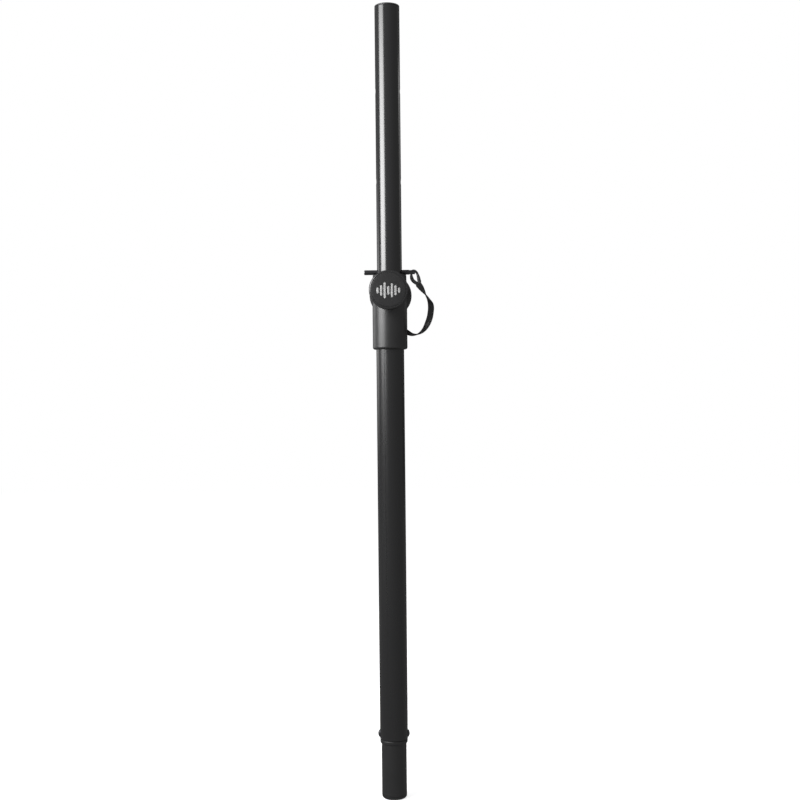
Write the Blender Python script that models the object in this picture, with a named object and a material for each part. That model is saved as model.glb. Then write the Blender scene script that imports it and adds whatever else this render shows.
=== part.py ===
"""Telescoping speaker pole: a thin tube slides in a fat one and is held by a clamp knob and a cross pin.

The pole stands on its spigot. The origin is the centre of the spigot's flat bottom face, +Z runs up the pole,
the clamp knob faces -Y and the safety pin lies along X. Sizes are in metres.
"""
import math

import bmesh
import bpy
from mathutils import Matrix, Vector

# Clearance between pieces that touch, the clearance of a sliding bore, and how far cutters reach past a wall.
GAP = 0.0003
SLIDE_GAP = 0.0002
CUT_START = 0.010
CUT_END = 0.030
# The number of sides of the tubes and of the round discs.
SIDES = 32
KNOB_SIDES = 40

# The whole pole.
POLE_HEIGHT = 1.110
PIN_HEIGHT = 0.7361

# The thin upper tube: 1-3/8 inch, with cross holes every 5 inches.
UPPER_RADIUS = 0.0175
UPPER_WALL = 0.0015
UPPER_BOTTOM = 0.380
UPPER_TOP = 1.1075
HOLE_PITCH = 0.127
HOLES_ABOVE_PIN = 2
HOLES_BELOW_PIN = 2
HOLE_RADIUS = 0.0038

# The fat lower tube.
LOWER_RADIUS = 0.0195
LOWER_BORE = 0.0179
LOWER_BOTTOM = 0.0826
LOWER_TOP = 0.7262

# The moulded collar on top of the lower tube.
COLLAR_BOTTOM = 0.6280
COLLAR_TOP = 0.7325
COLLAR_RADIUS = 0.0243
COLLAR_MOUTH_RADIUS = 0.0236
COLLAR_LIP_ROUND = 0.0030
COLLAR_TAPER_DROP = 0.0100
COLLAR_MOUTH_ROUND = 0.0012
ROUGH_ALLOWANCE = 0.0010
BUSH_RADIUS = 0.0208

# Screw holes in the tube and the collar, and the counterbores of the collar's own two screws.
TUBE_SCREW_HOLE = 0.0019
COLLAR_SCREW_HOLE = 0.0023
COUNTERBORE_RADIUS = 0.0042
COUNTERBORE_DEPTH = 0.0016
COLLAR_SCREW_HEIGHTS = {"low": 0.6430, "high": 0.6720}
# Screw sizes: head radius, head height and shank radius.
COLLAR_SCREW = (0.0038, 0.0021, 0.0016)
STRAP_SCREW = (0.0036, 0.0022, 0.0016)
DISC_SCREW = (0.0042, 0.0026, 0.0020)
SCREW_END_CLEARANCE = 0.0005

# The clamp: a knob in front pushes a pad through the lower tube; a round disc closes the boss behind.
CLAMP_HEIGHT = 0.7075
BOSS_RADIUS = 0.0150
BOSS_ROOT = 0.0040
BOSS_REACH = 0.0365
PAD_RADIUS = 0.0072
PAD_DEPTH = 0.0038
CHAMBER_RADIUS = 0.0078
NUT_FLATS = 0.0128
NUT_HEIGHT = 0.0064
NUT_INNER_FACE = 0.0270
STUD_RADIUS = 0.0039
KNOB_RADIUS = 0.0270
KNOB_BACK = 0.0372
KNOB_FRONT = 0.0535
KNOB_NECK_RADIUS = 0.0100
KNOB_FLARE_RADIUS = 0.0115
KNOB_RIM_ROUND = 0.0026
KNOB_EDGE_ROUND = 0.0020
KNOB_WEB = 0.0040
FLARE_DEPTH = 0.0022
BADGE_RADIUS = 0.0239
BADGE_SEAT_DEPTH = 0.0022
BADGE_EDGE_DROP = 0.0002
BADGE_DOME = 0.0008
REAR_DISC_RADIUS = 0.0302
REAR_NECK_RADIUS = 0.0140
REAR_FLARE_RADIUS = 0.0150
REAR_HOLE = 0.0026
REAR_RECESS_RADIUS = 0.0090
REAR_RECESS_DEPTH = 0.0040
DISC_SCREW_END = LOWER_RADIUS + 0.0035
STUD_CLEARANCE = 0.0006
PAD_SINK = 0.0030
SMALL_CHAMFER = 0.0006

# The safety pin and the forked end that holds its strap.
PIN_RADIUS = 0.0034
PIN_LEFT = -0.0355
PIN_RIGHT = 0.0358
FORK_DEPTH = 0.0080
FORK_GAP = 0.0038
RIVET_X = 0.0336
RIVET_DROP = 0.0009
RIVET_RADIUS = 0.0007

# The moulded caps in the tubes' ends.
CAP_SKIRT = 0.0160
CAP_WALL = 0.0020
CAP_ROUND = 0.0012
PLUG_DROP = 0.0030
PLUG_SKIRT = 0.0130

# The reducer in the foot of the lower tube.
SPIGOT_RADIUS = 0.0175
SPIGOT_BORE = 0.0143
FLANGE_BOTTOM = 0.0775
FLANGE_RADIUS = 0.0193
SLEEVE_TOP = 0.1210
END_CAP_HEIGHT = 0.0048
END_ROUND = 0.0040
END_PLUG_TOP = 0.0180

# The snap buttons, one on each side.
BUTTON_HEIGHT = 0.0898
BUTTON_RADIUS = 0.0052
BUTTON_SHOULDER = 0.0195
BUTTON_TIP = 0.0221
BUTTON_FLANGE_RADIUS = 0.0063
BUTTON_FLANGE_OUTER = 0.0124
BUTTON_INNER = 0.0112
SPRING_THICKNESS = 0.0008
SPRING_WIDTH = 0.0080
SPRING_BEND_HEIGHT = 0.1120
SPRING_BEND_RADIUS = 0.0060
SPRING_HALF_GRIP = 0.0050
SPRING_BEND_STEPS = 12

# The strap between the pin and the collar: route points, and the way its width points at each of them.
STRAP_WIDTH = 0.0088
STRAP_THICKNESS = 0.0018
STRAP_ROUTE = [
    ((0.0409, 0.0000, 0.7184), (0.80, 0.08, 0.60)),
    ((0.0432, 0.0000, 0.7154), (0.76, 0.30, 0.57)),
    ((0.0470, 0.0005, 0.7099), (0.48, 0.80, 0.34)),
    ((0.0510, 0.0015, 0.7037), (0.00, 1.00, 0.00)),
    ((0.0548, 0.0030, 0.6972), (-0.58, 0.76, 0.30)),
    ((0.0572, 0.0045, 0.6917), (-0.90, 0.40, 0.15)),
    ((0.0578, 0.0060, 0.6861), (-0.99, 0.10, 0.00)),
    ((0.0573, 0.0073, 0.6805), (-0.99, 0.10, -0.05)),
    ((0.0561, 0.0085, 0.6735), (-0.97, 0.15, 0.18)),
    ((0.0540, 0.0097, 0.6673), (-0.92, 0.25, 0.30)),
    ((0.0515, 0.0107, 0.6620), (-0.78, 0.52, 0.35)),
    ((0.0480, 0.0117, 0.6565), (-0.52, 0.78, 0.35)),
    ((0.0437, 0.0125, 0.6525), (-0.30, 0.92, 0.25)),
    ((0.0395, 0.0130, 0.6502), (-0.12, 0.99, 0.10)),
    ((0.0350, 0.0136, 0.6492), (0.00, 0.99, -0.10)),
    ((0.0305, 0.0142, 0.6497), (0.05, 0.90, -0.40)),
    ((0.0262, 0.0153, 0.6515), (0.08, 0.66, -0.75)),
    ((0.0222, 0.0168, 0.6536), (0.10, 0.35, -0.93)),
    ((0.0182, 0.0189, 0.6553), (0.06, 0.08, -0.99)),
    ((0.0140, 0.0216, 0.6563), (0.00, 0.00, -1.00)),
    ((0.0098, 0.0243, 0.6568), (0.00, 0.00, -1.00)),
]
STRAP_SPLIT = 8
ROUTE_STEPS = 2
EYE_ROUTE = [
    (0.0354, 0.0, 0.7378),
    (0.0325, 0.0, 0.7379),
    (0.0308, 0.0, 0.7363),
    (0.0305, 0.0, 0.7333),
    (0.0309, 0.0, 0.7290),
    (0.0322, 0.0, 0.7252),
    (0.0352, 0.0, 0.7222),
    (0.0396, 0.0, 0.7200),
    (0.0419, 0.0, 0.7222),
    (0.0411, 0.0, 0.7260),
    (0.0403, 0.0, 0.7300),
    (0.0383, 0.0, 0.7352),
]
EYE_RADIUS = 0.0015

# The strap's lower fixing, as a turn about the pole from +X towards +Y.
STRAP_SCREW_TURN = math.radians(57.0)
STRAP_SCREW_HEIGHT = 0.6563
WASHER_RADIUS = 0.0042
WASHER_HOLE = 0.0021
WASHER_THICKNESS = 0.0007
WASHER_STANDOFF = 0.0029


def clear_scene():
    """Remove every object of the open scene."""
    for thing in list(bpy.data.objects):
        bpy.data.objects.remove(thing, do_unlink=True)


def material(name, color, roughness, metallic=0.0):
    """A plain finish."""
    made = bpy.data.materials.new(name)
    made.use_nodes = True
    shader = made.node_tree.nodes["Principled BSDF"]
    shader.inputs["Base Color"].default_value = (*color, 1.0)
    shader.inputs["Roughness"].default_value = roughness
    shader.inputs["Metallic"].default_value = metallic
    return made


def finish_mesh(name, bm, finish, place=None):
    """Turn a bmesh into a named object with smooth round faces and sharp corners."""
    bmesh.ops.recalc_face_normals(bm, faces=bm.faces)
    mesh = bpy.data.meshes.new(name)
    bm.to_mesh(mesh)
    bm.free()
    mesh.shade_smooth()
    mesh.set_sharp_from_angle(angle=math.radians(35))
    made = bpy.data.objects.new(name, mesh)
    bpy.context.scene.collection.objects.link(made)
    if finish:
        mesh.materials.append(finish)
    if place is not None:
        made.matrix_world = place
    return made


def turned(name, profile, finish, place=None, sides=SIDES):
    """A turned solid: the outline (radius, height) goes once round Z. A closed outline makes a ring."""
    bm = bmesh.new()
    points = [bm.verts.new((radius, 0.0, height)) for radius, height in profile]
    on_axis = profile[0][0] == 0.0 and profile[-1][0] == 0.0
    pairs = list(zip(points, points[1:]))
    if not on_axis:
        pairs.append((points[-1], points[0]))
    edges = [bm.edges.new(pair) for pair in pairs]
    bmesh.ops.spin(
        bm, geom=points + edges, cent=(0, 0, 0), axis=(0, 0, 1), angle=2 * math.pi, steps=sides, use_merge=True
    )
    bmesh.ops.remove_doubles(bm, verts=bm.verts, dist=1e-6)
    return finish_mesh(name, bm, finish, place)


def arc(centre, radius, start, end, steps=4):
    """Points of an arc in a turned outline; the angles are in degrees from the outward direction."""
    turns = [math.radians(start + (end - start) * step / steps) for step in range(steps + 1)]
    return [(centre[0] + radius * math.cos(turn), centre[1] + radius * math.sin(turn)) for turn in turns]


def prism(name, outline, depth, finish, place=None):
    """A flat outline in XY, extruded along +Z by depth."""
    bm = bmesh.new()
    face = bm.faces.new([bm.verts.new((x, y, 0.0)) for x, y in outline])
    grown = bmesh.ops.extrude_face_region(bm, geom=[face])
    moved = [item for item in grown["geom"] if isinstance(item, bmesh.types.BMVert)]
    bmesh.ops.translate(bm, verts=moved, vec=(0, 0, depth))
    return finish_mesh(name, bm, finish, place)


def hexagon(flats):
    """The outline of a hexagon, from its width across the flats."""
    corner = flats / 2 / math.cos(math.pi / 6)
    return [(corner * math.cos(turn * math.pi / 3), corner * math.sin(turn * math.pi / 3)) for turn in range(6)]


def rod(radius, start, end, sides=16):
    """A hidden cutter: a plain rod from one point to another, with a flat and not a corner on each side."""
    start, end = Vector(start), Vector(end)
    bm = bmesh.new()
    bmesh.ops.create_cone(
        bm, cap_ends=True, segments=sides, radius1=radius, radius2=radius, depth=(end - start).length
    )
    roll = Matrix.Rotation(math.pi / sides, 4, "Z")
    return as_cutter(finish_mesh("cut_rod", bm, None, facing(end - start, (start + end) / 2) @ roll))


def block(low, high):
    """A hidden cutter: a box between two corners."""
    low, high = Vector(low), Vector(high)
    bm = bmesh.new()
    bmesh.ops.create_cube(bm, size=1.0)
    bmesh.ops.scale(bm, vec=high - low, verts=bm.verts)
    bmesh.ops.translate(bm, vec=(low + high) / 2, verts=bm.verts)
    return as_cutter(finish_mesh("cut_block", bm, None))


def as_cutter(thing):
    """Keep a tool solid out of the model."""
    thing.hide_render = True
    thing.display_type = "WIRE"
    return thing


def carve(thing, tool, operation="DIFFERENCE"):
    """Cut a tool solid out of a piece, or join it to the piece."""
    cut = thing.modifiers.new(operation.lower(), "BOOLEAN")
    cut.operation = operation
    cut.object = tool
    cut.solver = "EXACT"
    return thing


def facing(direction, at):
    """Placement that turns local +Z to a direction."""
    turn = Vector((0, 0, 1)).rotation_difference(Vector(direction)).to_matrix().to_4x4()
    return Matrix.Translation(at) @ turn


def joint_empty(name, at):
    """An empty on a joint's axis; the moving pieces hang on it."""
    empty = bpy.data.objects.new(name, None)
    empty.location = at
    empty.empty_display_size = 0.02
    bpy.context.scene.collection.objects.link(empty)
    bpy.context.view_layer.update()
    return empty


def hang(pieces, empty):
    """Parent pieces to an empty and leave them where they are."""
    bpy.context.view_layer.update()
    for piece in pieces:
        piece.parent = empty
        piece.matrix_parent_inverse = empty.matrix_world.inverted()


def smooth(points, steps=ROUTE_STEPS):
    """Points of a smooth curve through the given points (Catmull-Rom)."""
    points = [Vector(point) for point in points]
    ends = [2 * points[0] - points[1], *points, 2 * points[-1] - points[-2]]
    found = []
    for a, b, c, d in zip(ends, ends[1:], ends[2:], ends[3:]):
        for step in range(steps):
            t = step / steps
            found.append(
                0.5 * (2 * b + (c - a) * t + (2 * a - 5 * b + 4 * c - d) * t**2 + (3 * b - a - 3 * c + d) * t**3)
            )
    return found + [points[-1]]


def swept(name, centres, sections, finish, closed=False):
    """A solid through a row of sections, each a ring of offsets about its centre."""
    bm = bmesh.new()
    rings = [[bm.verts.new(centre + offset) for offset in ring] for centre, ring in zip(centres, sections)]
    corners = len(rings[0])
    following = rings[1:] + rings[:1] if closed else rings[1:]
    for here, there in zip(rings, following):
        for corner in range(corners):
            after = (corner + 1) % corners
            bm.faces.new([here[corner], here[after], there[after], there[corner]])
    if not closed:
        bm.faces.new(rings[0][::-1])
        bm.faces.new(rings[-1])
    return finish_mesh(name, bm, finish)


def strap_rings():
    """The strap's centres and flat sections along its whole route."""
    centres = smooth([point for point, _ in STRAP_ROUTE])
    widths = smooth([width for _, width in STRAP_ROUTE])
    sections = []
    for index, (centre, width) in enumerate(zip(centres, widths)):
        ahead = centres[min(index + 1, len(centres) - 1)] - centres[max(index - 1, 0)]
        along = ahead.normalized()
        across = (width - along * width.dot(along)).normalized() * STRAP_WIDTH / 2
        up = along.cross(across).normalized() * STRAP_THICKNESS / 2
        sections.append([across + up, up - across, -across - up, across - up])
    return centres, sections


def eye_ring(name, route, finish, sides=6):
    """A closed round ring in the XZ plane through the route's points."""
    centres = smooth([route[-1], *route, route[0], route[1]])[ROUTE_STEPS : -ROUTE_STEPS - 1]
    count = len(centres)
    sections = []
    for index in range(count):
        along = (centres[(index + 1) % count] - centres[index - 1]).normalized()
        side = along.cross(Vector((0, 1, 0))).normalized()
        turns = [2 * math.pi * step / sides for step in range(sides)]
        sections.append(
            [(side * math.cos(turn) + Vector((0, 1, 0)) * math.sin(turn)) * EYE_RADIUS for turn in turns]
        )
    return swept(name, centres, sections, finish, closed=True)


def pan_screw(name, at, direction, size, shank_length, finish):
    """A pan head screw: the underside of its head is at the given point and its shank runs back from there."""
    head_radius, head_height, shank_radius = size
    outline = [
        (0.0, -shank_length),
        (shank_radius * 0.7, -shank_length),
        (shank_radius, -shank_length + shank_radius * 0.5),
        (shank_radius, 0.0),
        (head_radius, 0.0),
        (head_radius, head_height * 0.55),
        (head_radius * 0.72, head_height),
        (0.0, head_height),
    ]
    screw = turned(name, outline, finish, facing(direction, at), sides=12)
    reach = head_radius * 0.55
    arm = head_radius * 0.11
    slot_floor = head_height * 0.45
    for long, wide in ((reach, arm), (arm, reach)):
        slot = block((-long, -wide, slot_floor), (long, wide, head_height * 2))
        slot.matrix_world = facing(direction, at)
        carve(screw, slot)
    return screw


def round_corner(radius, height, size, up=True, steps=3):
    """A rounded outer corner of a turned outline, run from bottom to top."""
    if up:
        return arc((radius - size, height - size), size, 0, 90, steps)
    return arc((radius - size, height + size), size, -90, 0, steps)


def strap_screw_line():
    """The way the strap's screw points out of the collar, and the point on the pole's axis level with it."""
    return Vector((math.cos(STRAP_SCREW_TURN), math.sin(STRAP_SCREW_TURN), 0)), Vector((0, 0, STRAP_SCREW_HEIGHT))


def make_lower_tube(steel):
    """The fat tube with its clamp window, its two button holes and the screw holes in the back."""
    outline = [
        (LOWER_BORE, LOWER_BOTTOM),
        (LOWER_RADIUS, LOWER_BOTTOM),
        (LOWER_RADIUS, LOWER_TOP),
        (LOWER_BORE, LOWER_TOP),
    ]
    tube = turned("lower_tube", outline, steel)
    carve(tube, rod(CHAMBER_RADIUS, (0, 0, CLAMP_HEIGHT), (0, -CUT_END, CLAMP_HEIGHT)))
    button_hole = BUTTON_RADIUS + GAP
    carve(tube, rod(button_hole, (-CUT_END, 0, BUTTON_HEIGHT), (CUT_END, 0, BUTTON_HEIGHT), sides=24))
    for height in COLLAR_SCREW_HEIGHTS.values():
        carve(tube, rod(TUBE_SCREW_HOLE, (0, CUT_START, height), (0, CUT_END, height)))
    out, foot = strap_screw_line()
    carve(tube, rod(TUBE_SCREW_HOLE, foot + out * CUT_START, foot + out * CUT_END))
    return tube


def make_collar(plastic):
    """The collar: a sleeve with a rounded lower lip, a front boss for the clamp and a rear boss."""
    bore = LOWER_RADIUS + GAP
    rough_bore = bore - ROUGH_ALLOWANCE
    outline = [
        (rough_bore, COLLAR_BOTTOM),
        *round_corner(COLLAR_RADIUS, COLLAR_BOTTOM, COLLAR_LIP_ROUND, up=False, steps=3),
        (COLLAR_RADIUS, CLAMP_HEIGHT - COLLAR_TAPER_DROP),
        *round_corner(COLLAR_MOUTH_RADIUS, COLLAR_TOP, COLLAR_MOUTH_ROUND, steps=2),
        (rough_bore, COLLAR_TOP),
    ]
    collar = turned("collar_housing", outline, plastic)
    for side in (-1, 1):
        boss = rod(BOSS_RADIUS, (0, side * BOSS_ROOT, CLAMP_HEIGHT), (0, side * BOSS_REACH, CLAMP_HEIGHT), sides=SIDES)
        carve(collar, boss, "UNION")
    past_bottom = COLLAR_BOTTOM - CUT_START
    carve(collar, rod(bore, (0, 0, past_bottom), (0, 0, LOWER_TOP + ROUGH_ALLOWANCE), sides=SIDES))
    carve(collar, rod(BUSH_RADIUS + GAP, (0, 0, LOWER_TOP), (0, 0, COLLAR_TOP + CUT_START), sides=SIDES))
    carve(collar, rod(CHAMBER_RADIUS, (0, 0, CLAMP_HEIGHT), (0, GAP - NUT_INNER_FACE, CLAMP_HEIGHT)))
    pocket_place = facing((0, -1, 0), (0, 0, CLAMP_HEIGHT))
    pocket_depth = NUT_INNER_FACE + NUT_HEIGHT + GAP
    carve(collar, as_cutter(prism("cut_pocket", hexagon(NUT_FLATS + 2 * GAP), pocket_depth, None, pocket_place)))
    past_boss = BOSS_REACH + CUT_START
    carve(collar, rod(STUD_RADIUS + STUD_CLEARANCE, (0, 0, CLAMP_HEIGHT), (0, -past_boss, CLAMP_HEIGHT)))
    hole_end = (0, DISC_SCREW_END - ROUGH_ALLOWANCE, CLAMP_HEIGHT)
    carve(collar, rod(COLLAR_SCREW_HOLE, hole_end, (0, past_boss, CLAMP_HEIGHT)))
    for height in COLLAR_SCREW_HEIGHTS.values():
        floor = (0, COLLAR_RADIUS - COUNTERBORE_DEPTH, height)
        carve(collar, rod(COLLAR_SCREW_HOLE, (0, CUT_START, height), (0, CUT_END, height)))
        carve(collar, rod(COUNTERBORE_RADIUS, floor, (0, CUT_END, height), sides=20))
    out, foot = strap_screw_line()
    carve(collar, rod(COLLAR_SCREW_HOLE, foot + out * CUT_START, foot + out * CUT_END))
    return collar


def make_collar_bush(nylon):
    """The flanged bush in the collar's mouth that the upper tube runs in."""
    bore = UPPER_RADIUS + SLIDE_GAP
    outline = [
        (bore, LOWER_TOP + GAP),
        (BUSH_RADIUS, LOWER_TOP + GAP),
        (BUSH_RADIUS, COLLAR_TOP),
        (bore + SMALL_CHAMFER, COLLAR_TOP),
        (bore, COLLAR_TOP - SMALL_CHAMFER),
    ]
    return turned("collar_bush", outline, nylon)


def make_clamp(plastic, steel, nylon):
    """The clamp knob with its stud and face plate, the nut in the boss and the pad in the tube's window."""
    front = (0, -1, 0)
    place = facing(front, (0, 0, CLAMP_HEIGHT))
    recess = KNOB_FRONT - BADGE_SEAT_DEPTH
    outline = [
        (STUD_RADIUS + GAP, KNOB_BACK),
        (KNOB_NECK_RADIUS, KNOB_BACK),
        (KNOB_FLARE_RADIUS, KNOB_BACK + FLARE_DEPTH),
        *round_corner(KNOB_RADIUS, KNOB_BACK + KNOB_WEB, KNOB_EDGE_ROUND, up=False, steps=2),
        *round_corner(KNOB_RADIUS, KNOB_FRONT, KNOB_RIM_ROUND, steps=2),
        (BADGE_RADIUS + GAP, KNOB_FRONT - GAP),
        (BADGE_RADIUS + GAP, recess),
        (STUD_RADIUS + GAP, recess),
    ]
    body = turned("knob_body", outline, plastic, place, sides=KNOB_SIDES)
    edge = KNOB_FRONT - BADGE_EDGE_DROP
    plate = [
        (0.0, recess + GAP),
        (BADGE_RADIUS, recess + GAP),
        (BADGE_RADIUS, edge - BADGE_EDGE_DROP),
        *[(BADGE_RADIUS * share, edge + BADGE_DOME * (1 - share**2)) for share in (0.975, 0.75, 0.4, 0.0)],
    ]
    badge = turned("knob_badge", plate, plastic, place, sides=KNOB_SIDES)
    pad_back = UPPER_RADIUS + GAP + PAD_DEPTH
    stud_outline = [
        (0.0, pad_back + GAP),
        (STUD_RADIUS - STUD_CLEARANCE, pad_back + GAP),
        (STUD_RADIUS, pad_back + GAP + STUD_CLEARANCE),
        (STUD_RADIUS, recess - GAP),
        (0.0, recess - GAP),
    ]
    stud = turned("knob_stud", stud_outline, steel, place, sides=24)
    nut_place = facing(front, (0, -NUT_INNER_FACE, CLAMP_HEIGHT))
    nut = prism("knob_nut", hexagon(NUT_FLATS), NUT_HEIGHT, steel, nut_place)
    carve(nut, rod(STUD_RADIUS + GAP, (0, 0, CLAMP_HEIGHT), (0, -KNOB_FRONT, CLAMP_HEIGHT)))
    pad_outline = [
        (0.0, UPPER_RADIUS - PAD_SINK),
        (PAD_RADIUS, UPPER_RADIUS - PAD_SINK),
        (PAD_RADIUS, pad_back - SMALL_CHAMFER),
        (PAD_RADIUS - SMALL_CHAMFER, pad_back),
        (0.0, pad_back),
    ]
    pad = turned("pressure_pad", pad_outline, nylon, place, sides=32)
    past_pad = Vector((0, 0, PAD_RADIUS * 2))
    level = Vector((0, 0, CLAMP_HEIGHT))
    carve(pad, rod(UPPER_RADIUS + GAP, level - past_pad, level + past_pad, sides=64))
    hang([pad], joint_empty("pressure_pad_axis", (0, 0, CLAMP_HEIGHT)))
    hang([body, badge, stud], joint_empty("knob_axis", (0, 0, CLAMP_HEIGHT)))


def make_rear_disc(plastic, steel):
    """The round disc on the collar's rear boss, held by one screw in its recess."""
    place = facing((0, 1, 0), (0, 0, CLAMP_HEIGHT))
    near = BOSS_REACH + GAP
    recess = KNOB_FRONT - REAR_RECESS_DEPTH
    outline = [
        (REAR_HOLE, near),
        (REAR_NECK_RADIUS, near),
        (REAR_FLARE_RADIUS, near + FLARE_DEPTH),
        *round_corner(REAR_DISC_RADIUS, near + KNOB_WEB, KNOB_EDGE_ROUND, up=False, steps=2),
        *round_corner(REAR_DISC_RADIUS, KNOB_FRONT, KNOB_RIM_ROUND, steps=2),
        (REAR_RECESS_RADIUS, KNOB_FRONT),
        (REAR_RECESS_RADIUS, recess),
        (REAR_HOLE, recess),
    ]
    turned("rear_disc", outline, plastic, place, sides=KNOB_SIDES)
    head = Vector((0, recess + GAP, CLAMP_HEIGHT))
    pan_screw("rear_disc_screw", head, (0, 1, 0), DISC_SCREW, head.y - DISC_SCREW_END, steel)


def make_collar_screws(steel):
    """The two screws that hold the collar on the lower tube; their heads sit in counterbores in the back."""
    floor = COLLAR_RADIUS - COUNTERBORE_DEPTH + GAP
    depth = floor - LOWER_BORE - SCREW_END_CLEARANCE
    for place, height in COLLAR_SCREW_HEIGHTS.items():
        pan_screw(f"collar_screw_{place}", (0, floor, height), (0, 1, 0), COLLAR_SCREW, depth, steel)


def make_upper_tube(steel, plastic):
    """The thin tube with its cross holes, the cap in its top and the plug in its foot."""
    bore = UPPER_RADIUS - UPPER_WALL
    outline = [
        (bore, UPPER_BOTTOM),
        (UPPER_RADIUS, UPPER_BOTTOM),
        (UPPER_RADIUS, UPPER_TOP),
        (bore, UPPER_TOP),
    ]
    tube = turned("upper_tube", outline, steel)
    for step in range(-HOLES_BELOW_PIN, HOLES_ABOVE_PIN + 1):
        height = PIN_HEIGHT + HOLE_PITCH * step
        carve(tube, rod(HOLE_RADIUS, (-CUT_END, 0, height), (CUT_END, 0, height), sides=12))
    fit = bore - GAP
    skirt_end = UPPER_TOP - CAP_SKIRT
    cap_outline = [
        (0.0, UPPER_TOP - CAP_WALL),
        (fit - CAP_WALL, UPPER_TOP - CAP_WALL),
        (fit - CAP_WALL, skirt_end),
        (fit - SMALL_CHAMFER, skirt_end),
        (fit, skirt_end + SMALL_CHAMFER),
        (fit, UPPER_TOP + GAP),
        (UPPER_RADIUS, UPPER_TOP + GAP),
        *round_corner(UPPER_RADIUS, POLE_HEIGHT, CAP_ROUND, steps=2),
        (0.0, POLE_HEIGHT),
    ]
    cap = turned("top_cap", cap_outline, plastic)
    low = UPPER_BOTTOM
    rim = UPPER_RADIUS - SLIDE_GAP
    plug_outline = [
        (0.0, low - PLUG_DROP),
        (rim - SMALL_CHAMFER, low - PLUG_DROP),
        (rim, low - PLUG_DROP + SMALL_CHAMFER),
        (rim, low - GAP),
        (fit, low - GAP),
        (fit, low + PLUG_SKIRT),
        (fit - CAP_WALL, low + PLUG_SKIRT),
        (fit - CAP_WALL, low + CAP_WALL),
        (0.0, low + CAP_WALL),
    ]
    plug = turned("upper_tube_plug", plug_outline, plastic)
    hang([tube, cap, plug], joint_empty("upper_section_axis", (0, 0, PIN_HEIGHT)))


def make_safety_pin(steel, rubber):
    """The cross pin with its forked end, the rivet across the fork and the strap's eye round the rivet."""
    length = PIN_RIGHT - PIN_LEFT
    outline = [
        (0.0, 0.0),
        (PIN_RADIUS - SMALL_CHAMFER, 0.0),
        (PIN_RADIUS, SMALL_CHAMFER),
        (PIN_RADIUS, length - GAP),
        (PIN_RADIUS - GAP, length),
        (0.0, length),
    ]
    pin = turned("safety_pin", outline, steel, facing((1, 0, 0), (PIN_LEFT, 0, PIN_HEIGHT)), sides=24)
    half, past = FORK_GAP / 2, PIN_RADIUS * 2
    fork_low = (PIN_RIGHT - FORK_DEPTH, -half, PIN_HEIGHT - past)
    carve(pin, block(fork_low, (PIN_RIGHT + past, half, PIN_HEIGHT + past)))
    rivet_height = PIN_HEIGHT - RIVET_DROP
    hole = RIVET_RADIUS + GAP / 2
    carve(pin, rod(hole, (RIVET_X, -past, rivet_height), (RIVET_X, past, rivet_height), sides=12))
    rivet_reach = PIN_RADIUS - GAP
    rivet_outline = [
        (0.0, -rivet_reach),
        (RIVET_RADIUS - SLIDE_GAP, -rivet_reach),
        (RIVET_RADIUS, SLIDE_GAP - rivet_reach),
        (RIVET_RADIUS, rivet_reach - SLIDE_GAP),
        (RIVET_RADIUS - SLIDE_GAP, rivet_reach),
        (0.0, rivet_reach),
    ]
    rivet_place = facing((0, 1, 0), (RIVET_X, 0, rivet_height))
    rivet = turned("pin_rivet", rivet_outline, steel, rivet_place, sides=12)
    eye = eye_ring("pin_strap_eye", EYE_ROUTE, rubber)
    centres, sections = strap_rings()
    end = STRAP_SPLIT * ROUTE_STEPS + 1
    upper = swept("pin_strap_upper", centres[:end], sections[:end], rubber)
    hang([pin, rivet, eye, upper], joint_empty("safety_pin_axis", (0, 0, PIN_HEIGHT)))


def make_strap_foot(rubber, steel):
    """The lower half of the strap, and the screw and washer that hold its end on the collar."""
    centres, sections = strap_rings()
    start = STRAP_SPLIT * ROUTE_STEPS
    along = (centres[start + 1] - centres[start - 1]).normalized()
    centres[start] = centres[start] + along * GAP
    lower = swept("pin_strap_lower", centres[start:], sections[start:], rubber)
    out, foot = strap_screw_line()
    carve(lower, rod(COLLAR_SCREW_HOLE, foot + out * CUT_START, foot + out * CUT_END))
    washer_inner = COLLAR_RADIUS + WASHER_STANDOFF
    washer_outer = washer_inner + WASHER_THICKNESS
    washer_outline = [
        (WASHER_HOLE, washer_inner),
        (WASHER_RADIUS, washer_inner),
        (WASHER_RADIUS, washer_outer),
        (WASHER_HOLE, washer_outer),
    ]
    turned("strap_washer", washer_outline, steel, facing(out, foot), sides=24)
    depth = washer_outer + GAP - LOWER_BORE - SCREW_END_CLEARANCE
    pan_screw("strap_screw", foot + out * (washer_outer + GAP), out, STRAP_SCREW, depth, steel)


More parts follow.
